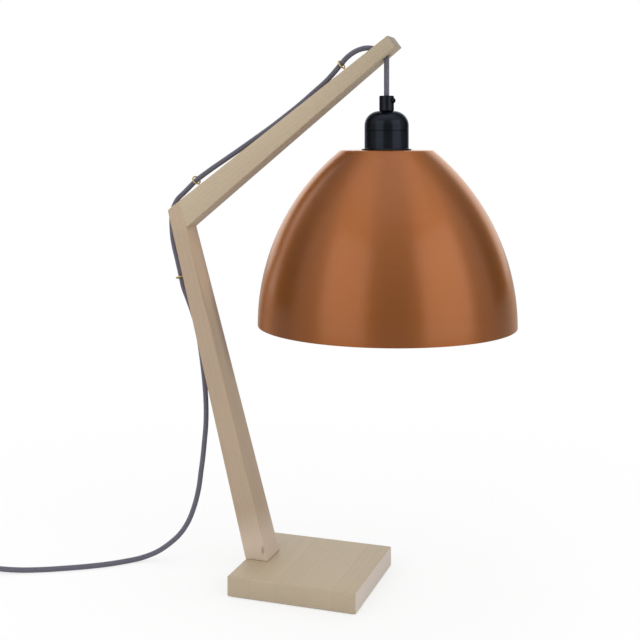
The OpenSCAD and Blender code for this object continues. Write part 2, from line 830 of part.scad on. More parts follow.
// Round plug pin with a chamfered end, on a thinner root inside the body
module plug_pin(side) {
    straight = pin_len - pin_chamfer;
    color(steel) at_plug() translate([side * pin_gap / 2, 0, plug_len]) {
        translate([0, 0, -pin_root]) cylinder(d = pin_root_d, h = pin_root);
        cylinder(d = pin_d, h = straight);
        translate([0, 0, straight]) cylinder(d1 = pin_d, d2 = pin_d - 2 * pin_chamfer, h = pin_chamfer);
    }
}

module plug_pin_a() {
    plug_pin(-1);
}

module plug_pin_b() {
    plug_pin(1);
}

module flex_bend() {
    color(flex_grey) translate(pivot) sphere(flex_r);
}

// Hanging stretch of flex, from below the bend down into the cord grip
module hanging_flex() {
    hang_top = pivot.z - flex_r - bend_gap;
    hang_low = pivot.z - flex_hang - flex_in_grip;
    color(flex_grey) translate([pivot.x, 0, hang_low]) cylinder(d = flex_d, h = hang_top - hang_low);
}

// Place of the pendant: the centre of the shade's top
module at_shade() {
    translate([pivot.x, 0, shade_top_z]) children();
}

// Place of the grip's side screw, on the flex's axis and pointing outwards
module at_grip_screw() {
    translate([0, 0, grip_top - grip_screw_drop]) rotate([0, 90, grip_screw_turn]) children();
}

module cord_grip() {
    color(black) at_shade() difference() {
        translate([0, 0, cap_top]) cylinder(d = grip_d, h = grip_h);
        translate([0, 0, cap_top - cut]) cylinder(d = nipple_d + 2 * seat_fit, h = nipple_in_grip + cut);
        translate([0, 0, cap_top]) cylinder(d = flex_d + 2 * run_fit, h = grip_h + cut);
        at_grip_screw() cylinder(d = grip_screw_d + 2 * seat_fit, h = grip_d);
    }
}

module cord_grip_screw() {
    tip = flex_r + bend_gap;
    color(black) at_shade() at_grip_screw() {
        translate([0, 0, tip]) cylinder(d = grip_screw_d, h = grip_d / 2 - tip);
        translate([0, 0, grip_d / 2]) cylinder(d = grip_screw_head_d, h = grip_screw_head_t);
    }
}

module nipple() {
    color(steel) at_shade() translate([0, 0, cap_top - nipple_in_cap]) difference() {
        cylinder(d = nipple_d, h = nipple_in_cap + nipple_in_grip);
        translate([0, 0, -cut]) cylinder(d = nipple_bore, h = nipple_in_cap + nipple_in_grip + 2 * cut);
    }
}

// Half profile of the cap, drawn in by a wall
module cap_profile(wall) {
    r = holder_r - wall;
    h = cap_h - wall;
    shoulder = cap_shoulder_r - wall;
    intersection() {
        union() {
            square([r, h - shoulder]);
            square([r - shoulder, h]);
            translate([r - shoulder, h - shoulder]) circle(shoulder);
        }
        square([r, h]);
    }
}

module holder_cap() {
    color(black) at_shade() translate([0, 0, cap_seat]) difference() {
        rotate_extrude() cap_profile(0);
        rotate_extrude() cap_profile(cap_wall);
        cylinder(d = nipple_d + 2 * seat_fit, h = cap_h + cut);
    }
}

module holder_skirt() {
    sleeve_r = sleeve_d / 2;
    flange_r = flange_d / 2;
    color(black) at_shade() rotate_extrude() polygon([
        [holder_bore_r, -sleeve_len], [sleeve_r, -sleeve_len], [sleeve_r, 0], [flange_r, 0],
        [flange_r, flange_t], [holder_r, flange_t], [holder_r, cap_seat], [spigot_r, cap_seat],
        [spigot_r, cap_seat + spigot_h], [holder_bore_r, cap_seat + spigot_h]
    ]);
}

module shade_ring() {
    color(black) at_shade() translate([0, 0, -shade_t - ring_h]) difference() {
        cylinder(d = ring_d, h = ring_h);
        translate([0, 0, -cut]) cylinder(d = sleeve_d + 2 * seat_fit, h = ring_h + 2 * cut);
    }
}

// Half profile of the space under the shade's curve, drawn in by a wall and run on below the rim
module shade_profile(wall, below) {
    intersection() {
        translate([shade_rim_r - shade_arc_r, -shade_h]) circle(shade_arc_r - wall, $fn = 360);
        translate([0, -shade_h - below]) square([shade_rim_r, shade_h + below - wall]);
    }
}

module shade() {
    color(copper) at_shade() difference() {
        rotate_extrude($fn = 180) shade_profile(0, 0);
        rotate_extrude($fn = 180) shade_profile(shade_t, cut);
        translate([0, 0, -shade_t - cut]) cylinder(d = sleeve_d + 2 * shade_fit, h = shade_t + 2 * cut);
    }
}

// Place of a terminal screw, on the insert's top
module at_terminal(side) {
    translate([side * terminal_out, 0, insert_top]) children();
}

// Terminal screw, or its hole when it is given a clearance
module terminal_screw(fit = 0) {
    translate([0, 0, -terminal_len - fit]) cylinder(d = terminal_d + 2 * fit, h = terminal_len + fit + cut);
}

module socket_insert() {
    collar_r = insert_d / 2 + collar_out;
    collar_z = cap_seat + spigot_h;
    color(ceramic) at_shade() difference() {
        rotate_extrude() polygon([
            [shell_seat_r, insert_low], [insert_d / 2, insert_low], [insert_d / 2, collar_z],
            [collar_r, collar_z], [collar_r, insert_top], [0, insert_top], [0, socket_roof],
            [shell_seat_r, socket_roof]
        ]);
        for (side = [-1, 1]) at_terminal(side) terminal_screw(seat_fit);
    }
}

module screw_shell() {
    color(brass) at_shade() translate([0, 0, shell_low]) difference() {
        cylinder(d = shell_d, h = shell_len);
        translate([0, 0, -cut]) cylinder(d = shell_d - 2 * shell_t, h = shell_len + 2 * cut);
    }
}

module centre_contact() {
    color(brass) at_shade() translate([0, 0, socket_roof - contact_t]) cylinder(d = contact_d, h = contact_t);
}

// Terminal screw with its head
module headed_terminal(side) {
    color(brass) at_shade() at_terminal(side) {
        terminal_screw();
        cylinder(d = terminal_head_d, h = terminal_head_t);
    }
}

module terminal_screw_a() {
    headed_terminal(-1);
}

module terminal_screw_b() {
    headed_terminal(1);
}

// End of the flex inside the holder, with its two cores led to the terminals
module flex_cores() {
    stub_top = grip_top - flex_in_grip - bend_gap;
    color(flex_grey) at_shade() {
        translate([0, 0, core_start]) cylinder(d = flex_d, h = stub_top - core_start);
        for (side = [-1, 1])
            rod([side * core_d / 2, 0, core_start], [side * terminal_out, 0, core_end], core_d);
    }
}

// Half profile of the bulb's cap, drawn in by a wall
module bulb_cap_profile(wall) {
    slope_top = bulb_top - bulb_tip_h;
    polygon([
        [0, bulb_neck], [bulb_cap_d / 2 - wall, bulb_neck], [bulb_cap_d / 2 - wall, slope_top - bulb_slope_h],
        [bulb_tip_d / 2, slope_top - wall], [0, slope_top - wall]
    ]);
}

module bulb_cap() {
    color(steel) at_shade() {
        difference() {
            rotate_extrude() bulb_cap_profile(0);
            translate([0, 0, -cut]) rotate_extrude() bulb_cap_profile(bulb_cap_t);
        }
        translate([0, 0, bulb_top - bulb_tip_h]) cylinder(d = bulb_tip_d, h = bulb_tip_h);
    }
}

// Half profile of the glass: a ball with a neck that runs up to the cap, drawn in by a wall
module glass_profile(wall) {
    r = bulb_d / 2 - wall;
    neck_r = bulb_cap_d / 2 - wall;
    neck_h = bulb_neck - bulb_centre;
    turn = atan2(neck_h, neck_r) - acos(r / norm([neck_r, neck_h]));
    translate([0, bulb_centre]) intersection() {
        union() {
            circle(r);
            polygon([[0, 0], [r * cos(turn), r * sin(turn)], [neck_r, neck_h], [0, neck_h]]);
        }
        translate([0, -r]) square([r, r + neck_h]);
    }
}

module bulb_glass() {
    color(clear_glass) at_shade() difference() {
        rotate_extrude() glass_profile(0);
        rotate_extrude() glass_profile(glass_t);
    }
}

base();
felt_underlay();
base_screw_front();
base_screw_back();
post();
knee_dowel_front();
knee_dowel_back();
arm();
cable_eye_upper();
cable_eye_lower();
cable_eye_post();
arm_flex();
mains_lead();
switch_base();
switch_cover();
switch_rocker();
switch_screw_a();
switch_screw_b();
switch_contact_a();
switch_contact_b();
switch_lead();
lead_coil();
plug_tail();
plug_sleeve();
plug_body();
plug_pin_a();
plug_pin_b();
flex_bend();
hanging_flex();
cord_grip();
cord_grip_screw();
nipple();
holder_cap();
holder_skirt();
shade_ring();
shade();
socket_insert();
screw_shell();
centre_contact();
terminal_screw_a();
terminal_screw_b();
flex_cores();
bulb_cap();
bulb_glass();
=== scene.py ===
"""Studio scene of a table lamp: a wooden stand, a copper-coloured dome on its textile flex, a switch and a plug.

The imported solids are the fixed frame. Each sub-assembly is a class that models its pieces with operators,
gives them their finish and lets them ride on the body that carries them. Lengths are in metres.
"""

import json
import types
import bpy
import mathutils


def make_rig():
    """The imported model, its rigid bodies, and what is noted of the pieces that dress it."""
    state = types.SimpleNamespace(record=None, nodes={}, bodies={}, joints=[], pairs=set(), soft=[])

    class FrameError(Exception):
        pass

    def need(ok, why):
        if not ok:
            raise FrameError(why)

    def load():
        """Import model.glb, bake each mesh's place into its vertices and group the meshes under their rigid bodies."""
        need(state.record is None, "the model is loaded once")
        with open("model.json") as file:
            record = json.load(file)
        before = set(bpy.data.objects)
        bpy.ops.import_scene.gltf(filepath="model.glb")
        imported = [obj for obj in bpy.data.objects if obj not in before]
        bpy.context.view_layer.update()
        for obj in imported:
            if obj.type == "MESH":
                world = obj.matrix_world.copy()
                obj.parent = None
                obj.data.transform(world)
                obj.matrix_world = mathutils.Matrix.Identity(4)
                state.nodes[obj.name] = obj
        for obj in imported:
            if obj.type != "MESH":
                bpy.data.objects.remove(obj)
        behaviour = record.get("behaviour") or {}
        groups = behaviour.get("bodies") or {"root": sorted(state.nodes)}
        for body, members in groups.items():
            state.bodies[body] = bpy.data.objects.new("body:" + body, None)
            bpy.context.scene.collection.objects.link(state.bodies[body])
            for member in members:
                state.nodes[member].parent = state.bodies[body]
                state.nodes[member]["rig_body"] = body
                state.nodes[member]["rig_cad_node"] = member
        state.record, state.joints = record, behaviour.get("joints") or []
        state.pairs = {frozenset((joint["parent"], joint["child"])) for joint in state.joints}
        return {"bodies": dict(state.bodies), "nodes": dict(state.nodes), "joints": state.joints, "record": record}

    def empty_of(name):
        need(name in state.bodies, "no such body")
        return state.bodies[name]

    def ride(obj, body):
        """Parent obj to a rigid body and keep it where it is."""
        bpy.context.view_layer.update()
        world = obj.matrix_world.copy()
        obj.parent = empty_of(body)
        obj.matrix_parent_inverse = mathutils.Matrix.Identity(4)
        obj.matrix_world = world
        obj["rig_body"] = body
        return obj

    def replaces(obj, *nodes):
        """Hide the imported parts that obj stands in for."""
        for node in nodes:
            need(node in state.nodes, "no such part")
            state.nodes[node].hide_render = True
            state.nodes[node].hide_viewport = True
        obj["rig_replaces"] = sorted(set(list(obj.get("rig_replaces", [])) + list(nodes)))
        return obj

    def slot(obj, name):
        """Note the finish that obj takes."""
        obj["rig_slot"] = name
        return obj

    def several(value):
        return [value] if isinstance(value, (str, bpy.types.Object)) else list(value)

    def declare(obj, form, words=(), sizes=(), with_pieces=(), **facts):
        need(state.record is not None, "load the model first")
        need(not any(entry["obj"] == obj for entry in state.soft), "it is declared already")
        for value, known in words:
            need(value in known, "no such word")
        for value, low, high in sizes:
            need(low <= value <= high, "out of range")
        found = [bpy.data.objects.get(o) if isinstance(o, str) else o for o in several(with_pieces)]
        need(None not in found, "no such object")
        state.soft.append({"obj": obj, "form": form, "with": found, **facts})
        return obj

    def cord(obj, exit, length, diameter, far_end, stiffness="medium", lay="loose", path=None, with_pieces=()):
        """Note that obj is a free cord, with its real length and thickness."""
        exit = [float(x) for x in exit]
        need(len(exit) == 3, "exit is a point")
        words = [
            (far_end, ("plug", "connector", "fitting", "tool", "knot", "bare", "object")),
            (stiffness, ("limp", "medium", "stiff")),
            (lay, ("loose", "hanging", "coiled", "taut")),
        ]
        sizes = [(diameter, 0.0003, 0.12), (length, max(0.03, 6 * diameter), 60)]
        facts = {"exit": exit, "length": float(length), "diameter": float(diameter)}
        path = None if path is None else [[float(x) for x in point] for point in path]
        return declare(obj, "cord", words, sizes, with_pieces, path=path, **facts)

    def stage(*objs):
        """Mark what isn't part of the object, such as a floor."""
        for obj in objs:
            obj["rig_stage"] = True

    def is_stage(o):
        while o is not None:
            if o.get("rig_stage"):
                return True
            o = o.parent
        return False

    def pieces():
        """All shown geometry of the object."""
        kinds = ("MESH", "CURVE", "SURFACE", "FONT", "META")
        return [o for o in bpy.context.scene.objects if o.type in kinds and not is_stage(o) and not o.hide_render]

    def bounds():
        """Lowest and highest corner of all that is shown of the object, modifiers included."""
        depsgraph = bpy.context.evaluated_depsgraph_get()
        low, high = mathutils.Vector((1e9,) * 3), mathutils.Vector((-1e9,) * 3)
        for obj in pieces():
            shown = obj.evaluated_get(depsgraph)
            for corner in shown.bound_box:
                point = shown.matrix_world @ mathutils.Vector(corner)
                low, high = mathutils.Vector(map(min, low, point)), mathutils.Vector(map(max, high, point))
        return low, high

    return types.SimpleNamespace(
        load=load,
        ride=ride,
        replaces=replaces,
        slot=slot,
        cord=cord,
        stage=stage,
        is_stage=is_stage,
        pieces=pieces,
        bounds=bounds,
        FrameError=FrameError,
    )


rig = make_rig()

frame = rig.load()

import json
import logging
import math
from collections.abc import Callable, Iterator, Sequence
from contextlib import contextmanager
from dataclasses import dataclass
from enum import Enum
from itertools import pairwise

import bmesh
import bpy
import numpy as np
from mathutils import Euler, Vector
from mathutils.geometry import intersect_line_line

CAD_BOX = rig.bounds()
SIZE_FILE = "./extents.json"
LOG = logging.getLogger("table_lamp")
TINY = 1e-6
WELD = 1e-7
QUARTER = math.pi / 2
SIDES = (-1, 1)

Colour = tuple[float, float, float]
Point = tuple[float, float, float]
Pair = tuple[float, float]
Profile = Sequence[Pair]
Piece = bpy.types.Object
Edge = bmesh.types.BMEdge


class Body(Enum):
    """The bodies that pieces ride on."""

    STAND = "stand"
    BEND = "bend"
    HANGER = "hanger"
    PENDANT = "pendant"
    ROCKER = "rocker"


class Slot(Enum):
    """The record's material slots."""

    BEECH = "beech"
    FELT = "felt"
    STEEL = "screw_steel"
    BRASS = "brass"
    FLEX = "flex"
    HOLDER = "holder_black"
    FITTING = "fitting_black"
    PIN = "plug_pin"
    COPPER = "copper"
    PORCELAIN = "porcelain"
    BULB_METAL = "bulb_metal"
    BULB_GLASS = "bulb_glass"


class Ends(Enum):
    """What closes a turned piece."""

    CAPPED = "a flat face at each end"
    RING = "the last ring meets the first"
    OPEN = "nothing"


class Way(Enum):
    """Coordinates of a timber."""

    ALONG = 0
    ACROSS = 1


class Wire:
    """A shader value. Arithmetic on it adds Math nodes to its shader."""

    def __init__(self, shader: "Shader", socket: bpy.types.NodeSocket) -> None:
        """Wraps one output socket of a node."""
        self.shader = shader
        self.socket = socket

    def math(self, operation: str, *others: "Wire | float") -> "Wire":
        """Adds a Math node that starts from this value and returns its value."""
        return self.shader.math(operation, self, *others)

    def __add__(self, other: "Wire | float") -> "Wire":
        """Adds another value."""
        return self.math("ADD", other)

    def __sub__(self, other: "Wire | float") -> "Wire":
        """Takes another value away."""
        return self.math("SUBTRACT", other)

    def __rsub__(self, other: float) -> "Wire":
        """Takes this value away from a number."""
        return self.shader.math("SUBTRACT", other, self)

    def __mul__(self, other: "Wire | float") -> "Wire":
        """Multiplies by another value."""
        return self.math("MULTIPLY", other)

    def __truediv__(self, other: "Wire | float") -> "Wire":
        """Divides by another value."""
        return self.math("DIVIDE", other)

    def step(self, low: float, high: float) -> "Wire":
        """Changes smoothly from 0 at low to 1 at high."""
        inputs = {"Value": self, "From Min": low, "From Max": high}
        return self.shader.add("MapRange", inputs, "Result", interpolation_type="SMOOTHSTEP")


class Shader:
    """The node tree of a material or a world while it is made."""

    def __init__(self, owner: bpy.types.Material | bpy.types.World) -> None:
        """Opens and empties the owner's node tree."""
        owner.use_nodes = True
        self.tree = owner.node_tree
        self.tree.nodes.clear()

    def add(self, kind: str, inputs: dict, output: int | str = 0, **settings: object) -> Wire:
        """Adds one node.

        Args:
            kind: The node's type, without its usual start.
            inputs: Values or wires of its sockets, by name or index.
            output: The output that is wanted.
            settings: The node's properties, set first.

        Returns:
            The output's value.
        """
        node = self.tree.nodes.new("ShaderNode" + kind)
        for key, value in settings.items():
            setattr(node, key, value)
        for key, value in inputs.items():
            if isinstance(value, Wire):
                self.tree.links.new(value.socket, node.inputs[key])
            else:
                node.inputs[key].default_value = value
        return Wire(self, node.outputs[output])

    def math(self, operation: str, *values: Wire | float) -> Wire:
        """Adds a Math node and returns its value."""
        return self.add("Math", dict(enumerate(values)), operation=operation)

    def length(self, *parts: Wire) -> Wire:
        """Gives the length of a vector."""
        total = parts[0] * parts[0]
        for part in parts[1:]:
            total = total + part * part
        return total.math("SQRT")

    def split(self, vector: Wire) -> tuple[Wire, Wire, Wire]:
        """Splits a vector into its three values."""
        parts = self.add("SeparateXYZ", {"Vector": vector}).socket.node.outputs
        return tuple(Wire(self, part) for part in parts)

    def place(self, turn: Point = (0, 0, 0), shift: Point = (0, 0, 0)) -> tuple[Wire, Wire, Wire]:
        """Gives the object's own coordinates, turned by radians about each axis and then shifted."""
        vector = self.add("TexCoord", {}, "Object")
        return self.split(self.add("Mapping", {"Vector": vector, "Rotation": turn, "Location": shift}))

    def ray(self, kind: str) -> Wire:
        """Says whether a ray is of a kind."""
        return self.add("LightPath", {}, f"Is {kind} Ray")

    def noise(
        self, place: Sequence[Wire | float], scale: float | Point, detail: float = 2, rough: float = 0.5
    ) -> Wire:
        """Gives noise of about 0 to 1.

        Args:
            place: The three coordinates.
            scale: Changes per unit, the same for all coordinates or one for each.
            detail: Octaves of finer noise.
            rough: Weight of the finer octaves.

        Returns:
            The noise.
        """
        scales = scale if isinstance(scale, tuple) else (scale,) * 3
        inputs = {axis: part * factor for axis, part, factor in zip("XYZ", place, scales)}
        vector = self.add("CombineXYZ", inputs)
        return self.add("TexNoise", {"Vector": vector, "Scale": 1.0, "Detail": detail, "Roughness": rough})

    def bands(self, way: Wire, bands: Sequence[Pair]) -> Wire:
        """Gives each band of a way from 0 to 1, known by its start, its own value."""
        wire = self.add("ValToRGB", {"Fac": way})
        ramp = wire.socket.node.color_ramp
        ramp.interpolation = "CONSTANT"
        while len(ramp.elements) < len(bands):
            ramp.elements.new(0.5)
        for stop, (start, value) in zip(ramp.elements, bands):
            stop.position = start
            stop.color = (value, value, value, 1)
        return self.split(wire)[0]

    def blend(self, share: Wire | float, first: Wire | Colour, second: Wire | Colour) -> Wire:
        """Mixes two colours, by the share of the second."""
        ends = [colour if isinstance(colour, Wire) else (*colour, 1) for colour in (first, second)]
        return self.add("Mix", {0: share, 6: ends[0], 7: ends[1]}, 2, data_type="RGBA", clamp_factor=True)

    def bump(self, height: Wire, depth: float, strength: float) -> Wire:
        """Gives a normal for a relief of that depth in metres."""
        return self.add("Bump", {"Height": height, "Distance": depth, "Strength": strength})

    def close(self, surface: Wire, kind: str = "Material") -> None:
        """Adds the output of a material or a world."""
        node = self.tree.nodes.new("ShaderNodeOutput" + kind)
        self.tree.links.new(surface.socket, node.inputs["Surface"])

    def surface(self, **sockets: Wire | Colour | float) -> None:
        """Adds the Principled shader and the output.

        Args:
            sockets: The shader's sockets, named in lower case with _ for a space.
        """
        inputs = {
            key.replace("_", " ").title(): (*value, 1) if isinstance(value, tuple) else value
            for key, value in sockets.items()
        }
        self.close(self.add("BsdfPrincipled", inputs))


class Finish:
    """A finish, made into a material once and then shared."""

    made: dict[str, bpy.types.Material] = {}
    name: str

    def paint(self, shader: Shader) -> None:
        """Adds the finish's nodes to an empty shader."""
        raise NotImplementedError

    def material(self) -> bpy.types.Material:
        """Gives this finish's material."""
        if self.name not in self.made:
            self.made[self.name] = bpy.data.materials.new(self.name)
            self.paint(Shader(self.made[self.name]))
        return self.made[self.name]


@dataclass(frozen=True)
class Patch:
    """A part of a timber that has another tone, or painted light or shade, where each of its ramps has risen.

    A ramp holds a coordinate, where it starts to rise and where it is full.
    """

    colour: Colour
    share: float
    ramps: tuple[tuple[Way, float, float], ...]


@dataclass(frozen=True)
class Timber(Finish):
    """Pale beech, planed and oiled, with growth rings about the heart of its own log."""

    name: str
    turn: Point
    light: Colour = (0.56, 0.458, 0.325)
    dark: Colour = (0.42, 0.332, 0.224)
    heart: Pair = (0.11, -0.16)
    ring_width: float = 0.0042
    ring_warp: float = 0.006
    warp: Point = (3, 26, 26)
    cloud: Point = (7, 34, 34)
    fibre: Point = (60, 2300, 2300)
    pore: Point = (240, 1500, 1500)
    staves: tuple[Pair, ...] = ()
    stave_span: float = 0.144
    stave_shift: float = 0.37
    knot: Point | None = None
    knot_shape: Point = (1.5, 1.0, 0.6)
    patches: tuple[Patch, ...] = ()

    def paint(self, shader: Shader) -> None:
        """Adds rings, fibres, flecks, glue lines, patches of another tone or of painted light and shade, and a knot.
        """
        place = along, across, up = shader.place(self.turn)
        ring_shift: Wire | float = 0.0
        stave_tone: Wire | float = 0.5
        seam: Wire | float = 0.0
        if self.staves:
            way = across / self.stave_span + 0.5
            stave_tone = shader.bands(way, self.staves)
            ring_shift = stave_tone * self.stave_shift
            for start, _ in self.staves[1:]:
                gap = (way - start).math("ABSOLUTE")
                seam = (1 - gap.step(0.0008, 0.0026)) + seam
        warp = shader.noise(place, self.warp, 3) - 0.5
        out = shader.length(across - self.heart[0] + ring_shift, up - self.heart[1]) + warp * self.ring_warp
        ring = (out * (2 * math.pi / self.ring_width)).math("SINE") * 0.5 + 0.5
        cloud = shader.noise(place, self.cloud, 3)
        fibre = shader.noise(place, self.fibre, 3, 0.6)
        fleck = shader.noise(place, self.pore, 1).step(0.62, 0.74)
        tone = ring * 0.1 + cloud * 0.5 + fibre * 0.34 + stave_tone * 0.3 - 0.12
        wood = shader.blend(tone, self.light, self.dark)
        wood = shader.blend(fleck * 0.22, wood, self.deep(0.62))
        if self.staves:
            wood = shader.blend(seam * 0.2, wood, self.deep(0.55))
        # Patches give real tones such as end grain, and also painted light and shade
        for patch in self.patches:
            share: Wire | float = patch.share
            for axis, start, full in patch.ramps:
                share = place[axis.value].step(start, full) * share
            wood = shader.blend(share, wood, patch.colour)
        if self.knot:
            shape = zip(shader.place(), self.knot, self.knot_shape)
            far = shader.length(*((part - middle) * factor for part, middle, factor in shape))
            wood = shader.blend((1 - far.step(0.0006, 0.0042)) * 0.55, wood, self.deep(0.45))
        height = fibre * 0.55 + ring * 0.2 - fleck * 0.5
        rough = fibre * 0.14 + fleck * 0.1 + 0.46
        shader.surface(base_color=wood, roughness=rough, normal=shader.bump(height, 0.00012, 0.6))

    def deep(self, share: float) -> Colour:
        """Gives a share of the dark colour."""
        return tuple(share * part for part in self.dark)


@dataclass(frozen=True)
class SpunMetal(Finish):
    """Metal brushed in circles on the spinning lathe, so that its shine is drawn out up and down the dome."""

    name: str
    axis: Pair
    light: Colour
    dark: Colour
    edge: Colour = (1.0, 0.66, 0.36)
    rough: float = 0.45
    anisotropy: float = 0.87
    lines: float = 2600.0

    def paint(self, shader: Shader) -> None:
        """Adds the brush lines, which run round the axis."""
        place = x, y, z = shader.place(shift=(-self.axis[0], -self.axis[1], 0))
        radius = shader.length(x, y)
        around = (x / radius, y / radius, radius - z)
        line = shader.noise(around, (2.5, 2.5, self.lines), 2, 0.7)
        band = shader.noise(around, (4, 4, self.lines / 18))
        cloud = shader.noise(place, 16)
        tone = line * 0.5 + band * 0.3 + cloud * 0.3 - 0.05
        shader.surface(
            base_color=shader.blend(tone, self.dark, self.light),
            metallic=1.0,
            roughness=line * 0.1 + cloud * 0.06 + (self.rough - 0.08),
            anisotropic=self.anisotropy,
            anisotropic_rotation=0.25,
            specular_tint=self.edge,
            coat_weight=0.8,
            coat_roughness=0.2,
            normal=shader.bump(line, 0.00002, 0.5),
        )


@dataclass(frozen=True)
class Braid(Finish):
    """Textile braid. The piece's UV map holds the way along the flex in metres, and the share of the way round."""

    name: str
    light: Colour
    dark: Colour
    strands: int = 12
    lay: float = 0.0125

    def paint(self, shader: Shader) -> None:
        """Adds two sets of strands that wind against each other and pass over and under, with painted shade in the
        grooves between them.
        """
        along, around, _ = shader.split(shader.add("UVMap", {}, uv_map="flex"))
        turns = along / self.lay * self.strands
        left = turns + around * self.strands
        right = turns - around * self.strands
        waves = [(way * math.pi).math("SINE") for way in (left, right)]
        over = (waves[0] * waves[1]).step(-0.25, 0.25)
        crown = waves[0].math("ABSOLUTE") * over + waves[1].math("ABSOLUTE") * (1 - over)
        fluff = shader.noise((along, around, 0.0), (2600, 46, 1), 2, 0.7)
        dye = shader.noise((left.math("FLOOR"), right.math("FLOOR"), 0.0), (7.3, 5.1, 1), 0)
        # Painted shade: the colour darkens off the strands' crowns, in the grooves; fluff and dye vary the braid's own
        # colour
        tone = crown * 0.5 + fluff * 0.35 + dye * 0.3 - 0.1
        shader.surface(
            base_color=shader.blend(tone, self.dark, self.light),
            roughness=fluff * 0.1 + 0.8,
            sheen_weight=0.35,
            sheen_roughness=0.4,
            sheen_tint=(0.75, 0.75, 0.8),
            normal=shader.bump(crown * 0.8 + fluff * 0.3, 0.0004, 0.8),
        )


@dataclass(frozen=True)
class Grained(Finish):
    """Two colours that mix by a fine grain and by larger patches.

    The pairs named in_ give the share that the grain and the patches have in the colour, roughness and relief.
    """

    name: str
    first: Colour
    second: Colour
    rough: float
    grain: float | Point = 900.0
    grain_noise: Pair = (2, 0.5)
    patch: float = 70.0
    patch_noise: Pair = (3, 0.6)
    contrast: Pair | None = None
    in_colour: Pair = (0.0, 1.0)
    in_rough: Pair = (0.1, 0.1)
    in_relief: Pair = (1.0, 0.0)
    depth: float = 0.00002
    strength: float = 0.4
    metallic: float = 0.0
    edge: Colour = (1.0, 1.0, 1.0)
    coat: float = 0.0

    def paint(self, shader: Shader) -> None:
        """Adds the grain and the patches."""
        place = shader.place()
        grain = shader.noise(place, self.grain, *self.grain_noise)
        patch = shader.noise(place, self.patch, *self.patch_noise)
        tone = patch.step(*self.contrast) if self.contrast else patch
        mean = self.rough - sum(self.in_rough) / 2
        shader.surface(
            base_color=shader.blend(grain * self.in_colour[0] + tone * self.in_colour[1], self.first, self.second),
            metallic=self.metallic,
            roughness=grain * self.in_rough[0] + patch * self.in_rough[1] + mean,
            specular_tint=self.edge,
            coat_weight=self.coat,
            coat_roughness=0.06,
            normal=shader.bump(grain * self.in_relief[0] + patch * self.in_relief[1], self.depth, self.strength),
        )


@dataclass(frozen=True)
class Satin(Grained):
    """Moulded or lacquered surface with a fine orange-peel grain and softly worn, lighter patches."""

    grain: float | Point = 1500.0
    contrast: Pair | None = (0.4, 0.75)
    in_colour: Pair = (0.0, 0.6)
    in_rough: Pair = (0.1, 0.12)
    depth: float = 0.00004


@dataclass(frozen=True)
class DrawnMetal(Grained):
    """Bare or plated metal with fine drawing lines along one axis and a faint tarnish."""

    grain: float | Point = (900.0, 900.0, 60.0)
    patch: float = 160.0
    contrast: Pair | None = (0.35, 0.75)
    in_rough: Pair = (0.12, 0.1)
    metallic: float = 1.0


@dataclass(frozen=True)
class Felt(Grained):
    """Pressed felt of matted fibres."""

    grain_noise: Pair = (4, 0.7)
    patch: float = 130.0
    patch_noise: Pair = (2, 0.5)
    in_colour: Pair = (0.7, 0.3)
    in_rough: Pair = (0.1, 0.0)
    depth: float = 0.0003
    strength: float = 0.9


@dataclass(frozen=True)
class Glazed(Grained):
    """Glazed white ware or opal glass: an even body under a glossy skin."""

    grain_noise: Pair = (1, 0.5)
    patch: float = 45.0
    patch_noise: Pair = (3, 0.5)
    in_colour: Pair = (0.2, 0.7)
    in_rough: Pair = (0.0, 0.1)
    in_relief: Pair = (0.2, 1.0)
    depth: float = 0.0001
    strength: float = 0.3
    coat: float = 0.5


@dataclass(frozen=True)
class SleevedPin(Finish):
    """Plated plug pin with a dull insulating sleeve on the half next to the plug."""

    name: str
    sleeve_end: float
    sleeve: Colour
    metal: Colour
    blur: float = 0.0001

    def paint(self, shader: Shader) -> None:
        """Changes from sleeve to metal along the pin."""
        place = shader.place()
        bare = place[1].step(self.sleeve_end - self.blur, self.sleeve_end + self.blur)
        line = shader.noise(place, (2200, 160, 2200))
        shader.surface(
            base_color=shader.blend(bare, self.sleeve, self.metal),
            metallic=bare,
            roughness=line * 0.12 - bare * 0.22 + 0.42,
            normal=shader.bump(line, 0.00002, 0.3),
        )


def runs(axis: int) -> Callable[[Edge], bool]:
    """Gives a test for edges that run along an axis."""
    return lambda edge: abs(edge.verts[0].co[axis] - edge.verts[1].co[axis]) > TINY


def turns(angle: float) -> Callable[[Edge], bool]:
    """Gives a test for edges where two faces meet at more than an angle in radians."""
    return lambda edge: edge.calc_face_angle(0) > angle


def rims(height: float) -> Callable[[Edge], bool]:
    """Gives a test for sharp edges that lie at a height."""
    return lambda edge: edge.calc_face_angle(0) > 1 and all(abs(v.co.z - height) < TINY for v in edge.verts)


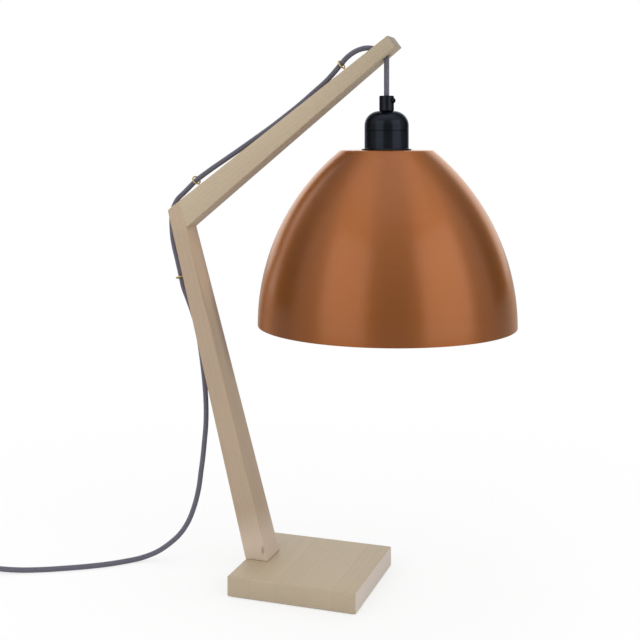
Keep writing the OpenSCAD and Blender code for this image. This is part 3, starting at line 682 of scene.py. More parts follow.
class Bench:
    """The operators that model a piece, used as by hand."""

    def deselect(self) -> None:
        """Leaves edit mode and deselects everything."""
        if bpy.context.object and bpy.context.object.mode != "OBJECT":
            bpy.ops.object.mode_set(mode="OBJECT")
        bpy.ops.object.select_all(action="DESELECT")

    def take(self, piece: Piece) -> None:
        """Makes a piece the only selected one."""
        self.deselect()
        piece.select_set(True)
        bpy.context.view_layer.objects.active = piece

    def settle(self, piece: Piece) -> Piece:
        """Moves a piece's place into its mesh and returns the piece."""
        self.take(piece)
        bpy.ops.object.transform_apply(location=True, rotation=True, scale=True)
        return piece

    def add(self, name: str, primitive: Callable, **settings: object) -> Piece:
        """Adds a primitive, by its operator and that operator's settings, with its place in its mesh."""
        self.deselect()
        primitive(**settings)
        piece = bpy.context.active_object
        piece.name = piece.data.name = name
        return self.settle(piece)

    @contextmanager
    def edit(self, piece: Piece) -> Iterator[None]:
        """Opens a piece in edit mode, with all of it selected."""
        self.take(piece)
        bpy.ops.object.mode_set(mode="EDIT")
        bpy.ops.mesh.select_mode(type="VERT")
        bpy.ops.mesh.select_all(action="SELECT")
        yield
        bpy.ops.object.mode_set(mode="OBJECT")

    def pick(self, piece: Piece, kind: str, test: Callable) -> None:
        """Selects the parts of an open piece that pass a test.

        Args:
            piece: A piece in edit mode.
            kind: VERT, EDGE or FACE.
            test: Takes a vertex, edge or face and says whether it is wanted.
        """
        bpy.ops.mesh.select_mode(type=kind)
        bpy.ops.mesh.select_all(action="DESELECT")
        mesh = bmesh.from_edit_mesh(piece.data)
        for part in {"VERT": mesh.verts, "EDGE": mesh.edges, "FACE": mesh.faces}[kind]:
            part.select_set(bool(test(part)))
        mesh.select_flush_mode()
        bmesh.update_edit_mesh(piece.data)

    def cut(self, piece: Piece, point: Sequence[float], normal: Sequence[float]) -> None:
        """Cuts a piece along a plane, drops the side that the normal points to and closes the cut."""
        plane = {"plane_co": point, "plane_no": Vector(normal).normalized(), "threshold": TINY}
        with self.edit(piece):
            bpy.ops.mesh.bisect(**plane, use_fill=True, clear_outer=True)

    def soften(
        self, piece: Piece, radius: float, segments: int, test: Callable[[Edge], bool] = turns(math.radians(25))
    ) -> None:
        """Rounds the edges of a piece that pass a test, or its sharp ones.

        Args:
            piece: The piece.
            radius: Width of the rounding.
            segments: Faces across it.
            test: Says whether an edge is rounded.
        """
        with self.edit(piece):
            self.pick(piece, "EDGE", test)
            bpy.ops.mesh.bevel(offset=radius, segments=segments, profile=0.5, affect="EDGES", clamp_overlap=True)

    def modify(self, piece: Piece, kind: str, **settings: object) -> None:
        """Adds a modifier and applies it."""
        self.take(piece)
        modifier = piece.modifiers.new(kind.title(), kind)
        for key, value in settings.items():
            setattr(modifier, key, value)
        bpy.ops.object.modifier_apply(modifier=modifier.name)

    def drill(self, piece: Piece, cutter: Piece) -> None:
        """Cuts one piece's shape out of another and removes the cutter."""
        self.modify(piece, "BOOLEAN", operation="DIFFERENCE", solver="EXACT", object=cutter)
        bpy.data.objects.remove(cutter)

    def join(self, pieces: Sequence[Piece]) -> Piece:
        """Joins pieces into the first one and returns it."""
        self.take(pieces[0])
        for piece in pieces:
            piece.select_set(True)
        bpy.ops.object.join()
        return pieces[0]

    def copy(self, piece: Piece, name: str) -> Piece:
        """Copies a piece with its own mesh."""
        twin = piece.copy()
        twin.data = piece.data.copy()
        twin.name = twin.data.name = name
        bpy.context.scene.collection.objects.link(twin)
        return twin

    def lay(self, piece: Piece, place: Sequence[float], turn: Point = (0, 0, 0)) -> Piece:
        """Turns a piece about the origin, moves it to its place and returns it."""
        piece.rotation_euler = Euler(turn)
        piece.location = place
        return self.settle(piece)

    def smooth(self, piece: Piece, angle: float = 32) -> Piece:
        """Shades a piece smooth, except at edges sharper than the angle in degrees, and returns it."""
        self.take(piece)
        bpy.ops.object.shade_smooth_by_angle(angle=math.radians(angle))
        return piece

    def block(self, name: str, low: Sequence[float], high: Sequence[float]) -> Piece:
        """Adds a box between two corners and returns it."""
        low, high = Vector(low), Vector(high)
        return self.add(name, bpy.ops.mesh.primitive_cube_add, size=1, location=(low + high) / 2, scale=high - low)

    def rod(self, name: str, radius: float, low: float, high: float, sides: int) -> Piece:
        """Adds a straight round bar along the Z axis and returns it."""
        return self.turned(name, [(radius, low), (radius, high)], sides=sides)

    def turned(self, name: str, profile: Profile, ends: Ends = Ends.CAPPED, sides: int = 96) -> Piece:
        """Turns a piece about the Z axis, ring by ring, as on a lathe.

        Args:
            name: The piece's name.
            profile: Radius and height of each ring.
            ends: What closes the piece.
            sides: Faces round the axis.

        Returns:
            The piece.
        """
        radius, height = profile[0]
        circle = bpy.ops.mesh.primitive_circle_add
        piece = self.add(name, circle, vertices=sides, radius=radius, location=(0, 0, height), fill_type="NOTHING")
        with self.edit(piece):
            for (r0, z0), (r1, z1) in pairwise([*profile, profile[0]] if ends is Ends.RING else profile):
                bpy.ops.mesh.extrude_region_move(TRANSFORM_OT_translate={"value": (0, 0, z1 - z0)})
                bpy.ops.transform.resize(value=(r1 / r0, r1 / r0, 1), center_override=(0, 0, z1))
            if ends is Ends.CAPPED:
                for rim in (profile[0][1], profile[-1][1]):
                    self.pick(piece, "EDGE", lambda e: e.is_boundary and abs(e.verts[0].co.z - rim) < WELD)
                    bpy.ops.mesh.edge_face_add()
            bpy.ops.mesh.select_all(action="SELECT")
            bpy.ops.mesh.remove_doubles(threshold=WELD)
            bpy.ops.mesh.normals_make_consistent(inside=False)
        return piece


BENCH = Bench()


def arc(centre: Pair, radius: float, start: float, end: float, steps: int) -> list[Pair]:
    """Gives points of an arc in a profile.

    Args:
        centre: Radius and height of its centre.
        radius: Its own radius.
        start: First angle in degrees, from straight out.
        end: Last angle in degrees.
        steps: Steps from first to last.

    Returns:
        Radius and height of each point.
    """
    angles = [math.radians(start + (end - start) * i / steps) for i in range(steps + 1)]
    return [(centre[0] + radius * math.cos(a), centre[1] + radius * math.sin(a)) for a in angles]


def dress(piece: Piece, finish: Finish, body: Body, slot: Slot, *nodes: str) -> Piece:
    """Gives a new piece its finish, the body that it rides on and the nodes that it stands for.

    Args:
        piece: The piece.
        finish: Its finish.
        body: The body that carries it.
        slot: The record's slot of its material.
        nodes: The solids that it replaces.

    Returns:
        The piece.
    """
    if not piece.data.materials:
        piece.data.materials.append(finish.material())
    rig.ride(piece, body.value)
    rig.slot(piece, slot.value)
    if nodes:
        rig.replaces(piece, *nodes)
    LOG.info("%s rides on %s", piece.name, body.value)
    return piece


def refinish(finish: Finish, slot: Slot, *names: str) -> list[Piece]:
    """Gives solids that keep their shape a finish of their own and returns them."""
    nodes = [frame["nodes"][name] for name in names]
    for name, node in zip(names, nodes):
        node.data.materials.clear()
        node.data.materials.append(finish.material())
        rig.slot(node, slot.value)
        LOG.info("%s keeps its solid", name)
    return nodes


BRAID = Braid("grey_braid", (0.2, 0.19, 0.247), (0.056, 0.053, 0.075))
BRASS = DrawnMetal("bright_brass", (0.8, 0.66, 0.3), (0.6, 0.45, 0.18), 0.29)
STEEL = DrawnMetal("zinc_plate", (0.62, 0.63, 0.64), (0.42, 0.42, 0.43), 0.35)
HOLDER_BLACK = Satin(
    "holder_satin_black", (0.022, 0.025, 0.032), (0.03, 0.034, 0.044), 0.22, metallic=1.0, edge=(0.55, 0.57, 0.6)
)
FITTING_BLACK = Satin("fitting_matt_black", (0.014, 0.014, 0.015), (0.028, 0.028, 0.03), 0.48, 2400.0)


@dataclass
class Outline:
    """Outline of the stand in the XZ plane, worked out from its named sizes."""

    base_side: float = 0.144
    base_low: float = 0.001
    base_top: float = 0.0225
    foot_width: float = 0.0265
    foot_depth: float = 0.0385
    top_width: float = 0.019
    top_depth: float = 0.0285
    rise: float = 0.367
    lean: float = math.radians(14.3)
    pitch: float = math.radians(36.6)
    arm_length: float = 0.317
    knee_thickness: float = 0.03
    tip_thickness: float = 0.015
    tongue: float = 0.017
    hole_from_tip: float = 0.0175

    def __post_init__(self) -> None:
        """Works out the directions and corners."""
        # Directions of the post's outer face, of the arm's top edge and square to that edge
        self.post_up: Vector = self.direction(QUARTER + self.lean)
        self.arm_along: Vector = self.direction(self.pitch)
        self.arm_up: Vector = self.direction(QUARTER + self.pitch)
        # Outer corner of the post's foot, inner corner of the knee and the arm's top edge above that
        self.foot_outer: Vector = Vector((-self.base_side / 2, 0, self.base_top))
        knee_outer = self.foot_outer + self.post_up * (self.rise / math.cos(self.lean))
        self.knee_inner: Vector = knee_outer + Vector((self.top_width, 0, 0))
        self.edge_start: Vector = self.knee_inner + self.arm_up * self.knee_thickness
        # Upper and lower edge of the arm's tip
        self.tip_high: Vector = self.edge_start + self.arm_along * self.arm_length
        self.tip_low: Vector = self.tip_high - self.arm_up * self.tip_thickness
        # Directions of the arm's underside and square to it, into the arm
        self.under_along: Vector = (self.tip_low - self.knee_inner).normalized()
        self.under_up: Vector = Vector((-self.under_along.z, 0, self.under_along.x))
        # Direction square to the joint between post and arm, towards the arm
        lines = (self.foot_outer, self.foot_outer + self.post_up, self.edge_start, self.edge_start + self.arm_along)
        joint = intersect_line_line(*lines)[0] + self.arm_along * self.tongue - self.knee_inner
        self.joint_normal: Vector = Vector((joint.z, 0, -joint.x)).normalized()
        # Middle of the flex hole's lower mouth, where the flex bends
        self.pivot: Vector = self.tip_low - self.under_along * self.hole_from_tip

    def direction(self, angle: float) -> Vector:
        """Gives the direction at an angle from the X axis."""
        return Vector((math.cos(angle), 0, math.sin(angle)))


PLAN = Outline()


@dataclass
class Studio:
    """Camera, floor and light."""

    camera_at: Point = (0.40538, -1.20196, 0.49774)
    camera_turn: float = math.radians(19.2406)
    lens: float = 64.245
    sensor: float = 36.0
    shift: Pair = (0.03125, -0.29246)
    aim: Point = (0.0, 0.0, 0.3)
    ambient: float = 0.44
    ceiling: float = 0.72
    overhead: float = 0.42
    front: float = 0.3
    walls: tuple[Point, ...] = ((-0.6, -0.3, 0.2), (0.1, 0.22, -0.38), (0.6, 0.68, 0.98))
    wall_turn: float = math.radians(5)
    floor_side: float = 60.0
    floor_colour: Colour = (0.94, 0.94, 0.94)
    floor_shine: float = 0.5
    floor_white: float = 0.7
    floor_fade: Pair = (0.3, 1.0)
    lamps: tuple[tuple[str, Point, Pair, float], ...] = (
        ("softbox_left", (-0.7, -1.85, 0.65), (1.5, 2.6), 9.4),
        ("softbox_right", (1.9, -0.7, 0.65), (1.7, 2.6), 12.2),
        ("softbox_above", (0.2, -0.3, 2.4), (2.4, 2.4), 4.0),
    )

    def place_camera(self) -> None:
        """Sets the camera at the photograph's place and angle."""
        bpy.ops.object.camera_add(location=self.camera_at, rotation=(QUARTER, 0, self.camera_turn))
        camera = bpy.context.active_object
        camera.data.lens = self.lens
        camera.data.sensor_width = self.sensor
        camera.data.shift_x, camera.data.shift_y = self.shift
        bpy.context.scene.camera = camera

    def lay_floor(self) -> None:
        """Lays a pale floor, which keeps the lamp's shadow and is white further off."""
        floor = BENCH.add("studio_floor", bpy.ops.mesh.primitive_plane_add, size=self.floor_side)
        material = bpy.data.materials.new("pale_floor")
        shader = Shader(material)
        x, y, _ = shader.place()
        far = shader.length(x, y).step(*self.floor_fade)
        glossy = shader.ray("Glossy")
        seen = (glossy + shader.ray("Camera") + shader.ray("Transmission")).math("MINIMUM", 1.0)
        level = 1 - glossy * (1 - self.floor_shine)
        white = shader.add("Emission", {"Color": (1, 1, 1, 1), "Strength": level})
        matt = shader.add("BsdfDiffuse", {"Color": (*self.floor_colour, 1)})
        share = seen * (far * (1 - self.floor_white) + self.floor_white).math("MAXIMUM", glossy)
        shader.close(shader.add("MixShader", {0: share, 1: matt, 2: white}))
        floor.data.materials.append(material)
        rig.stage(floor)

    def hang_lamps(self) -> None:
        """Sets the softboxes, each facing the table lamp."""
        for name, place, size, power in self.lamps:
            bpy.ops.object.light_add(type="AREA", location=place)
            lamp = bpy.context.active_object
            lamp.name = name
            lamp.rotation_euler = (Vector(self.aim) - Vector(place)).to_track_quat("-Z", "Y").to_euler()
            lamp.data.shape = "RECTANGLE"
            lamp.data.size, lamp.data.size_y = size
            lamp.data.energy = power

    def set_world(self) -> None:
        """Lights the room evenly. Shiny surfaces see walls that are brighter or dimmer by their direction."""
        world = bpy.data.worlds.new("studio_room")
        bpy.context.scene.world = world
        shader = Shader(world)
        x, y, z = shader.split(shader.add("TexCoord", {}, "Generated"))
        turn = self.camera_turn + self.wall_turn
        back = x * -math.sin(turn) + y * math.cos(turn)
        high = z.math("MAXIMUM", 0.0)
        wall = high * self.overhead + self.front
        for low, top, change in self.walls:
            wall = back.step(low, top) * change + wall
        room = high * self.ceiling + self.ambient
        shiny = (shader.ray("Glossy") + shader.ray("Transmission")).math("MINIMUM", 1.0)
        seen = shader.ray("Camera")
        level = (1 - seen) * (shiny * wall + (1 - shiny) * room) + seen
        shader.close(shader.add("Background", {"Color": (1, 1, 1, 1), "Strength": level}), "World")
        bpy.context.scene.view_settings.view_transform = "Standard"


def way_along(line: np.ndarray, power: float = 1.0) -> np.ndarray:
    """Adds up the distances from point to point, each raised to a power."""
    return np.concatenate([[0], np.cumsum(np.linalg.norm(np.diff(line, axis=0), axis=1) ** power)])


def between(way: np.ndarray, start: float, end: float, first: np.ndarray, last: np.ndarray) -> np.ndarray:
    """Gives the points on the way from the first point at start to the last one at end."""
    return ((end - way) * first + (way - start) * last) / (end - start)


@dataclass
class Flex:
    """The textile flex: over the arm, down to the floor, and coiled past the picture's edge.

    The points of its routes are in millimetres.
    """

    diameter: float = 0.0058
    sides: int = 20
    step: float = 0.0016
    samples: int = 24
    hole_rise: float = 0.0014
    coil_centre: Pair = (-0.5, -0.055)
    coil_radius: float = 0.045
    coil_pitch: float = 0.0074
    coil_rise: float = 0.0066
    coil_turns: float = 2.25
    coil_climb: float = 0.5
    coil_ring: int = 24
    floor_height: float = 0.003
    hang: float = 0.0415
    hang_rings: int = 30
    in_grip: float = 0.006
    plug_axis: float = 0.007
    tie_half: float = 0.0055
    tie_low: float = 0.0001
    tie_play: Point = (0.0012, 0.0022, 0.0009)
    tie_corner: float = 0.003
    tie_thick: float = 0.0008
    tie_edge: float = 0.0002
    arm_points: tuple[Point, ...] = (
        (80.5, 0, 584.5), (75.8, 0, 587.5), (70.5, 0, 589.5), (64.9, 0, 590.4), (59.3, 0, 590),
        (53.2, 0, 588.3), (46.5, 0, 585), (40.5, 0, 580.5), (34.3, 0, 574), (27.3, 0, 566),
        (17, 0, 555.3), (3, 0, 543.5), (-14, 0, 529.5), (-32, 0, 516), (-48, 0, 504.5),
        (-62, 0, 495), (-78, 0, 484.5), (-92, 0, 475.3), (-108, 0, 465), (-122, 0, 456),
        (-140.5, 0, 443), (-148.5, 1.5, 436.3), (-157.5, 3.8, 428.6), (-166.2, 6.4, 421.7), (-170.6, 7.5, 416),
        (-173.9, 8, 409), (-175.3, 7.8, 401.2), (-175.3, 7.3, 393.5), (-174.5, 6.5, 384.5), (-172.6, 4.8, 374.5),
        (-169.4, 2.9, 363.5), (-165.6, 1.2, 352.5), (-162.2, 0, 341.5), (-159.5, 0, 330.5),
    )
    mains_points: tuple[Point, ...] = (
        (-159.5, 0, 330.5), (-156.8, 0, 319.5), (-151.2, 0, 306), (-145.6, 0, 292), (-141.2, 0, 279),
        (-137.4, 0, 263), (-134.4, 0, 245), (-131.5, 0, 224), (-129.5, 0, 205), (-128.5, 0, 190),
        (-128.2, 0, 176), (-128.7, 0, 161), (-130.3, 0, 144), (-132.2, 0, 126), (-134.7, 0, 108),
        (-137.7, 0, 88), (-142.7, 0, 69), (-150.3, 0, 50), (-160.9, 0, 34), (-173.9, -1, 21.5),
        (-189.4, -3, 10.5), (-206, -10, 4), (-219, -22.5, 3), (-235, -38, 3), (-254, -52, 3), (-275, -65, 3),
        (-297, -77, 3), (-320, -87.5, 3.5), (-342, -95, 5), (-360, -99, 7.5), (-372, -100, 8.5),
        (-383, -100, 8.5),
    )
    switch_points: tuple[Point, ...] = (
        (-433, -100, 8.5), (-445, -100, 8.5), (-458, -100, 7), (-474, -100, 4.5), (-486, -100, 3),
    )
    tail: tuple[Pair, ...] = ((-0.042, 0.0), (-0.028, 0.5), (-0.018, 1.0), (0.008, 1.0))

    def curve(self, points: Sequence[Sequence[float]]) -> np.ndarray:
        """Runs one smooth curve through a route's points.

        Args:
            points: The points, in metres.

        Returns:
            Points of the curve, one step apart.
        """
        p = np.array(points, float)
        p = np.vstack([2 * p[0] - p[1], p, 2 * p[-1] - p[-2]])
        t = way_along(p, 0.5)
        line = []
        for i in range(1, len(p) - 2):
            s = np.linspace(t[i], t[i + 1], self.samples, endpoint=False)[:, None]
            a, b, c = (between(s, t[j], t[j + 1], p[j], p[j + 1]) for j in (i - 1, i, i + 1))
            first, last = between(s, t[i - 1], t[i + 1], a, b), between(s, t[i], t[i + 2], b, c)
            line.append(between(s, t[i], t[i + 1], first, last))
        line = np.vstack([*line, p[-2:-1]])
        way = way_along(line)
        at = np.linspace(0, way[-1], max(3, round(way[-1] / self.step)))
        return np.stack([np.interp(at, way, line[:, k]) for k in range(3)], axis=1)

    def tube(self, name: str, line: np.ndarray, side: Point = (0, 1, 0), diameter: float | None = None) -> Piece:
        """Makes a closed tube along a line, with a UV map of the way along it and the share round it.

        Args:
            name: The piece's name.
            line: Points of the centre line.
            side: A direction that the line never takes.
            diameter: The tube's diameter, or that of the flex.

        Returns:
            The piece.
        """
        n, k = len(line), self.sides
        ahead = np.gradient(line, axis=0)
        ahead /= np.linalg.norm(ahead, axis=1)[:, None]
        u = np.cross(ahead, side)
        u /= np.linalg.norm(u, axis=1)[:, None]
        v = np.cross(ahead, u)
        angle = np.linspace(0, 2 * math.pi, k, endpoint=False)
        out = np.cos(angle)[None, :, None] * u[:, None] + np.sin(angle)[None, :, None] * v[:, None]
        points = (line[:, None] + out * (diameter or self.diameter) / 2).reshape(-1, 3)
        walls = [
            (i * k + j, i * k + (j + 1) % k, (i + 1) * k + (j + 1) % k, (i + 1) * k + j)
            for i in range(n - 1) for j in range(k)
        ]
        caps = [tuple(range(k))[::-1], tuple(range((n - 1) * k, n * k))]
        mesh = bpy.data.meshes.new(name)
        mesh.from_pydata(points.tolist(), [], walls + caps)
        way = way_along(line)
        layer = mesh.uv_layers.new(name="flex")
        for face in mesh.polygons:
            for loop in face.loop_indices:
                ring, place = divmod(mesh.loops[loop].vertex_index, k)
                last = face.index < len(walls) and face.index % k == k - 1 and place == 0
                layer.data[loop].uv = (way[ring], 1.0 if last else place / k)
        mesh.polygons.foreach_set("use_smooth", [True] * len(walls) + [False] * len(caps))
        piece = bpy.data.objects.new(name, mesh)
        bpy.context.scene.collection.objects.link(piece)
        return piece

    def coil_line(self) -> list[Point]:
        """Gives the coil's points: in on the lower layer, up, and out again on the upper layer."""
        x, y = self.coil_centre
        upper = self.coil_turns + 0.25
        inner = self.coil_radius - self.coil_pitch * self.coil_turns
        points = []
        for i in range(int(self.coil_ring * (self.coil_turns + self.coil_climb + upper)) + 1):
            turn = i / self.coil_ring
            past = turn - self.coil_turns
            radius = self.coil_radius - self.coil_pitch * turn
            if past >= 0:
                radius = inner + self.coil_pitch * max(0.0, past - self.coil_climb)
            climb = (1 - math.cos(math.pi * min(1.0, max(0.0, past / self.coil_climb)))) / 2
            angle = math.radians(-90 - 360 * turn)
            height = self.floor_height + self.coil_rise * climb
            points.append((x + radius * math.cos(angle), y + radius * math.sin(angle), height))
        first, last = points[0], points[-1]
        start = (first[0] + self.diameter, first[1], first[2])
        return [start, *points, (last[0], last[1] + self.diameter, last[2])]

    def routes(self) -> dict[str, np.ndarray]:
        """Gives the centre line of each stretch of flex that doesn't move."""
        arm, mains, switch = (
            list(np.array(points) * 0.001) for points in (self.arm_points, self.mains_points, self.switch_points)
        )
        coil = self.coil_line()
        x, _, high = coil[-1]
        tail = [(x, y, high + (self.plug_axis - high) * share) for y, share in self.tail]
        return {
            "arm": self.curve([PLAN.pivot + PLAN.under_up * self.hole_rise, *arm]),
            "mains": self.curve(mains),
            "coil": self.curve([*switch, *coil, *tail]),
        }

    def build(self) -> tuple[dict[str, Piece], dict[str, np.ndarray]]:
        """Makes the stretches of flex.

        Returns:
            The pieces and their centre lines, by stretch.
        """
        lines = self.routes()
        stretches = {
            "arm": ("flex_on_arm", (0, 1, 0), ("arm_flex",)),
            "mains": ("flex_to_switch", (0, 1, 0), ("mains_lead",)),
            "coil": ("flex_coiled", (0, 0, 1), ("switch_lead", "lead_coil", "plug_tail")),
        }
        pieces = {}
        for key, (name, side, nodes) in stretches.items():
            pieces[key] = dress(self.tube(name, lines[key], side), BRAID, Body.STAND, Slot.FLEX, *nodes)
        pivot = np.array(PLAN.pivot)
        down = np.linspace(pivot, pivot - (0, 0, self.hang + self.in_grip), self.hang_rings)
        dress(self.tube("flex_hanging", down), BRAID, Body.HANGER, Slot.FLEX, "hanging_flex")
        self.bend()
        self.tie()
        return pieces, lines

    def bend(self) -> None:
        """Makes the round stretch of flex at the mouth of the arm's hole."""
        r = self.diameter / 2
        piece = BENCH.turned("flex_bend_braid", arc((0, 0), r, -84, 84, 20), sides=self.sides)
        with BENCH.edit(piece):
            bpy.ops.uv.sphere_project(direction="ALIGN_TO_OBJECT", align="POLAR_ZX", correct_aspect=False)
        piece.data.uv_layers[0].name = "flex"
        for loop in piece.data.uv_layers[0].data:
            loop.uv = (loop.uv[1] * math.pi * r, loop.uv[0])
        BENCH.lay(BENCH.smooth(piece, 60), PLAN.pivot)
        dress(piece, BRAID, Body.BEND, Slot.FLEX, "flex_bend")

    def tie(self) -> None:
        """Wraps a strap round the coil's turns on the side away from the switch."""
        x, y = self.coil_centre
        half = self.tie_half
        inside, outside, above = (self.diameter / 2 + play for play in self.tie_play)
        inner = self.coil_radius - self.coil_pitch * self.coil_turns - inside
        outer, top = self.coil_radius + outside, self.floor_height + self.coil_rise + above
        strap = BENCH.block("coil_tie", (x - half, y + inner, self.tie_low), (x + half, y + outer, top))
        BENCH.soften(strap, self.tie_corner, 4, runs(0))
        with BENCH.edit(strap):
            BENCH.pick(strap, "FACE", lambda f: abs(f.normal.x) > 0.9)
            bpy.ops.mesh.delete(type="FACE")
        BENCH.modify(strap, "SOLIDIFY", thickness=self.tie_thick, offset=-1)
        BENCH.soften(strap, self.tie_edge, 2)
        dress(BENCH.smooth(strap), FITTING_BLACK, Body.STAND, Slot.FITTING)

    def declare(
        self, pieces: dict[str, Piece], lines: dict[str, np.ndarray], switch: list[Piece], plug: list[Piece]
    ) -> None:
        """Args:
            pieces: The stretches.
            lines: Their centre lines.
            switch: The switch's pieces.
            plug: The plug's pieces.
        """
        facts = {
            "arm": {"length": 0.42, "far_end": "object", "lay": "loose"},
            "mains": {"length": 0.56, "far_end": "fitting", "lay": "loose", "with_pieces": switch},
            "coil": {"length": 1.33, "far_end": "plug", "lay": "coiled", "with_pieces": plug},
        }
        for key, fact in facts.items():
            line = lines[key]
            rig.cord(pieces[key], exit=line[0], diameter=self.diameter, stiffness="medium", path=line, **fact)


@dataclass
class Stand:
    """Base, post, arm and screw eyes."""

    edge: float = 0.0013
    corner: float = 0.002
    glue_edge: float = 0.00022
    skin: Pair = (0.0008, 0.0002)
    staves: tuple[Pair, ...] = ((0.0, 0.75), (0.18, 0.35), (0.375, 0.62), (0.62, 0.3), (0.815, 0.5))
    end_grain: Colour = (0.3, 0.25, 0.19)
    # Colour of the painted light on the base's right face
    painted_lit_side: Colour = (0.645, 0.565, 0.511)
    tip_end: Colour = (0.245, 0.205, 0.156)
    post_light: Colour = (0.5, 0.38, 0.268)
    post_dark: Colour = (0.38, 0.277, 0.187)
    post_knot: Point = (-0.0512, -0.0186, 0.0345)
    post_painted_light: tuple[Patch, ...] = (
        # Painted light: the post is paler towards its foot, lifting the shade where it meets the base
        Patch((0.68, 0.563, 0.457), 0.78, ((Way.ALONG, 0.097, 0.046),)),
        # Painted light: the right face is lighter just under the knee, as if light fell there
        Patch(
            (0.71, 0.55, 0.375), 0.75,
            ((Way.ALONG, 0.29, 0.36), (Way.ACROSS, -0.0144, -0.0136), (Way.ACROSS, 0.02, 0.0)),
        ),
        # Painted shade: a dark streak along the side under the knee, where the dome shades it
        Patch(
            (0.29, 0.2, 0.14), 0.8,
            ((Way.ALONG, 0.22, 0.27), (Way.ALONG, 0.35, 0.31), (Way.ACROSS, -0.002, 0.011)),
        ),
    )
    # Painted shade: the arm grows darker towards its tip
    painted_shade_tip: Patch = Patch((0.21, 0.166, 0.112), 0.32, ((Way.ALONG, 0.26, 0.43),))
    post_run_on: float = 0.08
    arm_block: tuple[Pair, Pair] = ((-0.25, 0.3), (0.2, 0.7))
    hole_radius: float = 0.0045
    hole_chamfer: float = 0.0015
    hole_flare_from: float = 0.0085
    eye_radius: float = 0.0048
    eye_wire: float = 0.0009
    eye_height: float = 0.0095
    eye_screw: float = 0.009
    eye_gap: float = 0.0007
    upper_eye_at: float = 0.0625
    lower_eye_at: float = 0.28
    post_eye_at: float = 0.3205
    eye_turns: Point = (math.radians(-12), math.radians(-24), math.radians(12))

    def build(self) -> None:
        """Makes all of the stand."""
        self.base()
        self.post()
        self.arm()
        self.eyes()
        refinish(Felt("grey_felt", (0.03, 0.03, 0.033), (0.075, 0.075, 0.08), 0.91), Slot.FELT, "felt_underlay")
        refinish(STEEL, Slot.STEEL, "base_screw_front", "base_screw_back")
        refinish(Timber("dowel_beech", (0, 0, 0)), Slot.BEECH, "knee_dowel_front", "knee_dowel_back")

    def base(self) -> None:
        """Makes the base board from staves that run from front to back."""
        half = PLAN.base_side / 2
        board = BENCH.block("base_board", (-half, -half, PLAN.base_low), (half, half, PLAN.base_top))
        upright = runs(2)
        BENCH.soften(board, self.corner, 4, upright)
        BENCH.soften(board, self.edge, 3, lambda e: e.calc_face_angle(0) > 1 and not upright(e))
        start, full = (half - depth for depth in self.skin)
        patches = (
            Patch(self.end_grain, 0.2, ((Way.ALONG, start, full),)),
            Patch(self.end_grain, 0.2, ((Way.ALONG, -start, -full),)),
            # Painted light: the right face is paler, as if more light fell on it from the right
            Patch(self.painted_lit_side, 0.8, ((Way.ACROSS, -start, -full),)),
        )
        wood = Timber("base_beech", (0, 0, -QUARTER), staves=self.staves, patches=patches)
        dress(BENCH.smooth(board), wood, Body.STAND, Slot.BEECH, "base")

    def post(self) -> None:
        """Makes the leaning post: its foot is drawn up and in to the knee, run on, and cut to the joint."""
        low, knee = PLAN.foot_outer, PLAN.knee_inner
        y = PLAN.foot_depth / 2
        post = BENCH.block("post_timber", (low.x, -y, low.z), (low.x + PLAN.foot_width, y, knee.z))
        middle = Vector((knee.x - PLAN.top_width / 2, 0, knee.z))
        shift = (middle.x - low.x - PLAN.foot_width / 2, 0, 0)
        narrow = (PLAN.top_width / PLAN.foot_width, PLAN.top_depth / PLAN.foot_depth, 1)
        with BENCH.edit(post):
            BENCH.pick(post, "FACE", lambda f: f.normal.z > 0.9)
            bpy.ops.transform.translate(value=shift)
            bpy.ops.transform.resize(value=narrow, center_override=middle)
            bpy.ops.mesh.extrude_region_move(TRANSFORM_OT_translate={"value": PLAN.post_up * self.post_run_on})
        BENCH.cut(post, PLAN.edge_start, PLAN.arm_up)
        BENCH.cut(post, PLAN.knee_inner, PLAN.joint_normal)
        self.round_off(post)
        wood = Timber(
            "post_beech", (0, QUARTER + PLAN.lean, 0), self.post_light, self.post_dark, (-0.13, 0.17),
            knot=self.post_knot, patches=self.post_painted_light,
        )
        dress(BENCH.smooth(post), wood, Body.STAND, Slot.BEECH, "post")

    def arm(self) -> None:
        """Makes the rising arm: a block cut to its four faces, with the flex hole near its tip."""
        y = PLAN.top_depth / 2
        (x0, z0), (x1, z1) = self.arm_block
        arm = BENCH.block("arm_timber", (x0, -y, z0), (x1, y, z1))
        BENCH.cut(arm, PLAN.edge_start, PLAN.arm_up)
        BENCH.cut(arm, PLAN.knee_inner, -PLAN.under_up)
        BENCH.cut(arm, PLAN.tip_low, PLAN.arm_along)
        BENCH.cut(arm, PLAN.knee_inner, -PLAN.joint_normal)
        self.round_off(arm)
        r, c = self.hole_radius, self.hole_chamfer
        flare, top = self.hole_flare_from, PLAN.knee_thickness
        profile = [(r + c + 0.002, -0.002), (r + c, 0), (r, c), (r, flare), (r + (top - flare) / 2, top)]
        cutter = BENCH.turned("hole_cutter", profile, sides=48)
        pitch = math.atan2(PLAN.under_along.z, PLAN.under_along.x)
        BENCH.drill(arm, BENCH.lay(cutter, PLAN.pivot, (0, -pitch, 0)))
        start, full = (PLAN.tip_high.dot(PLAN.arm_along) - depth for depth in self.skin)
        patches = (self.painted_shade_tip, Patch(self.tip_end, 0.95, ((Way.ALONG, start, full),)))
        wood = Timber("arm_beech", (0, PLAN.pitch, 0), heart=(0.14, 0.12), patches=patches)
        dress(BENCH.smooth(arm), wood, Body.STAND, Slot.BEECH, "arm")

    def round_off(self, timber: Piece) -> None:
        """Rounds a timber's edges, and breaks those of its glued joint only slightly."""
        def on_joint(edge: Edge) -> bool:
            """Says whether an edge lies on the glued joint."""
            return all(abs((v.co - PLAN.knee_inner).dot(PLAN.joint_normal)) < TINY for v in edge.verts)

        sharp = turns(math.radians(12))
        BENCH.soften(timber, self.edge, 3, lambda e: sharp(e) and not on_joint(e))
        BENCH.soften(timber, self.glue_edge, 1, on_joint)

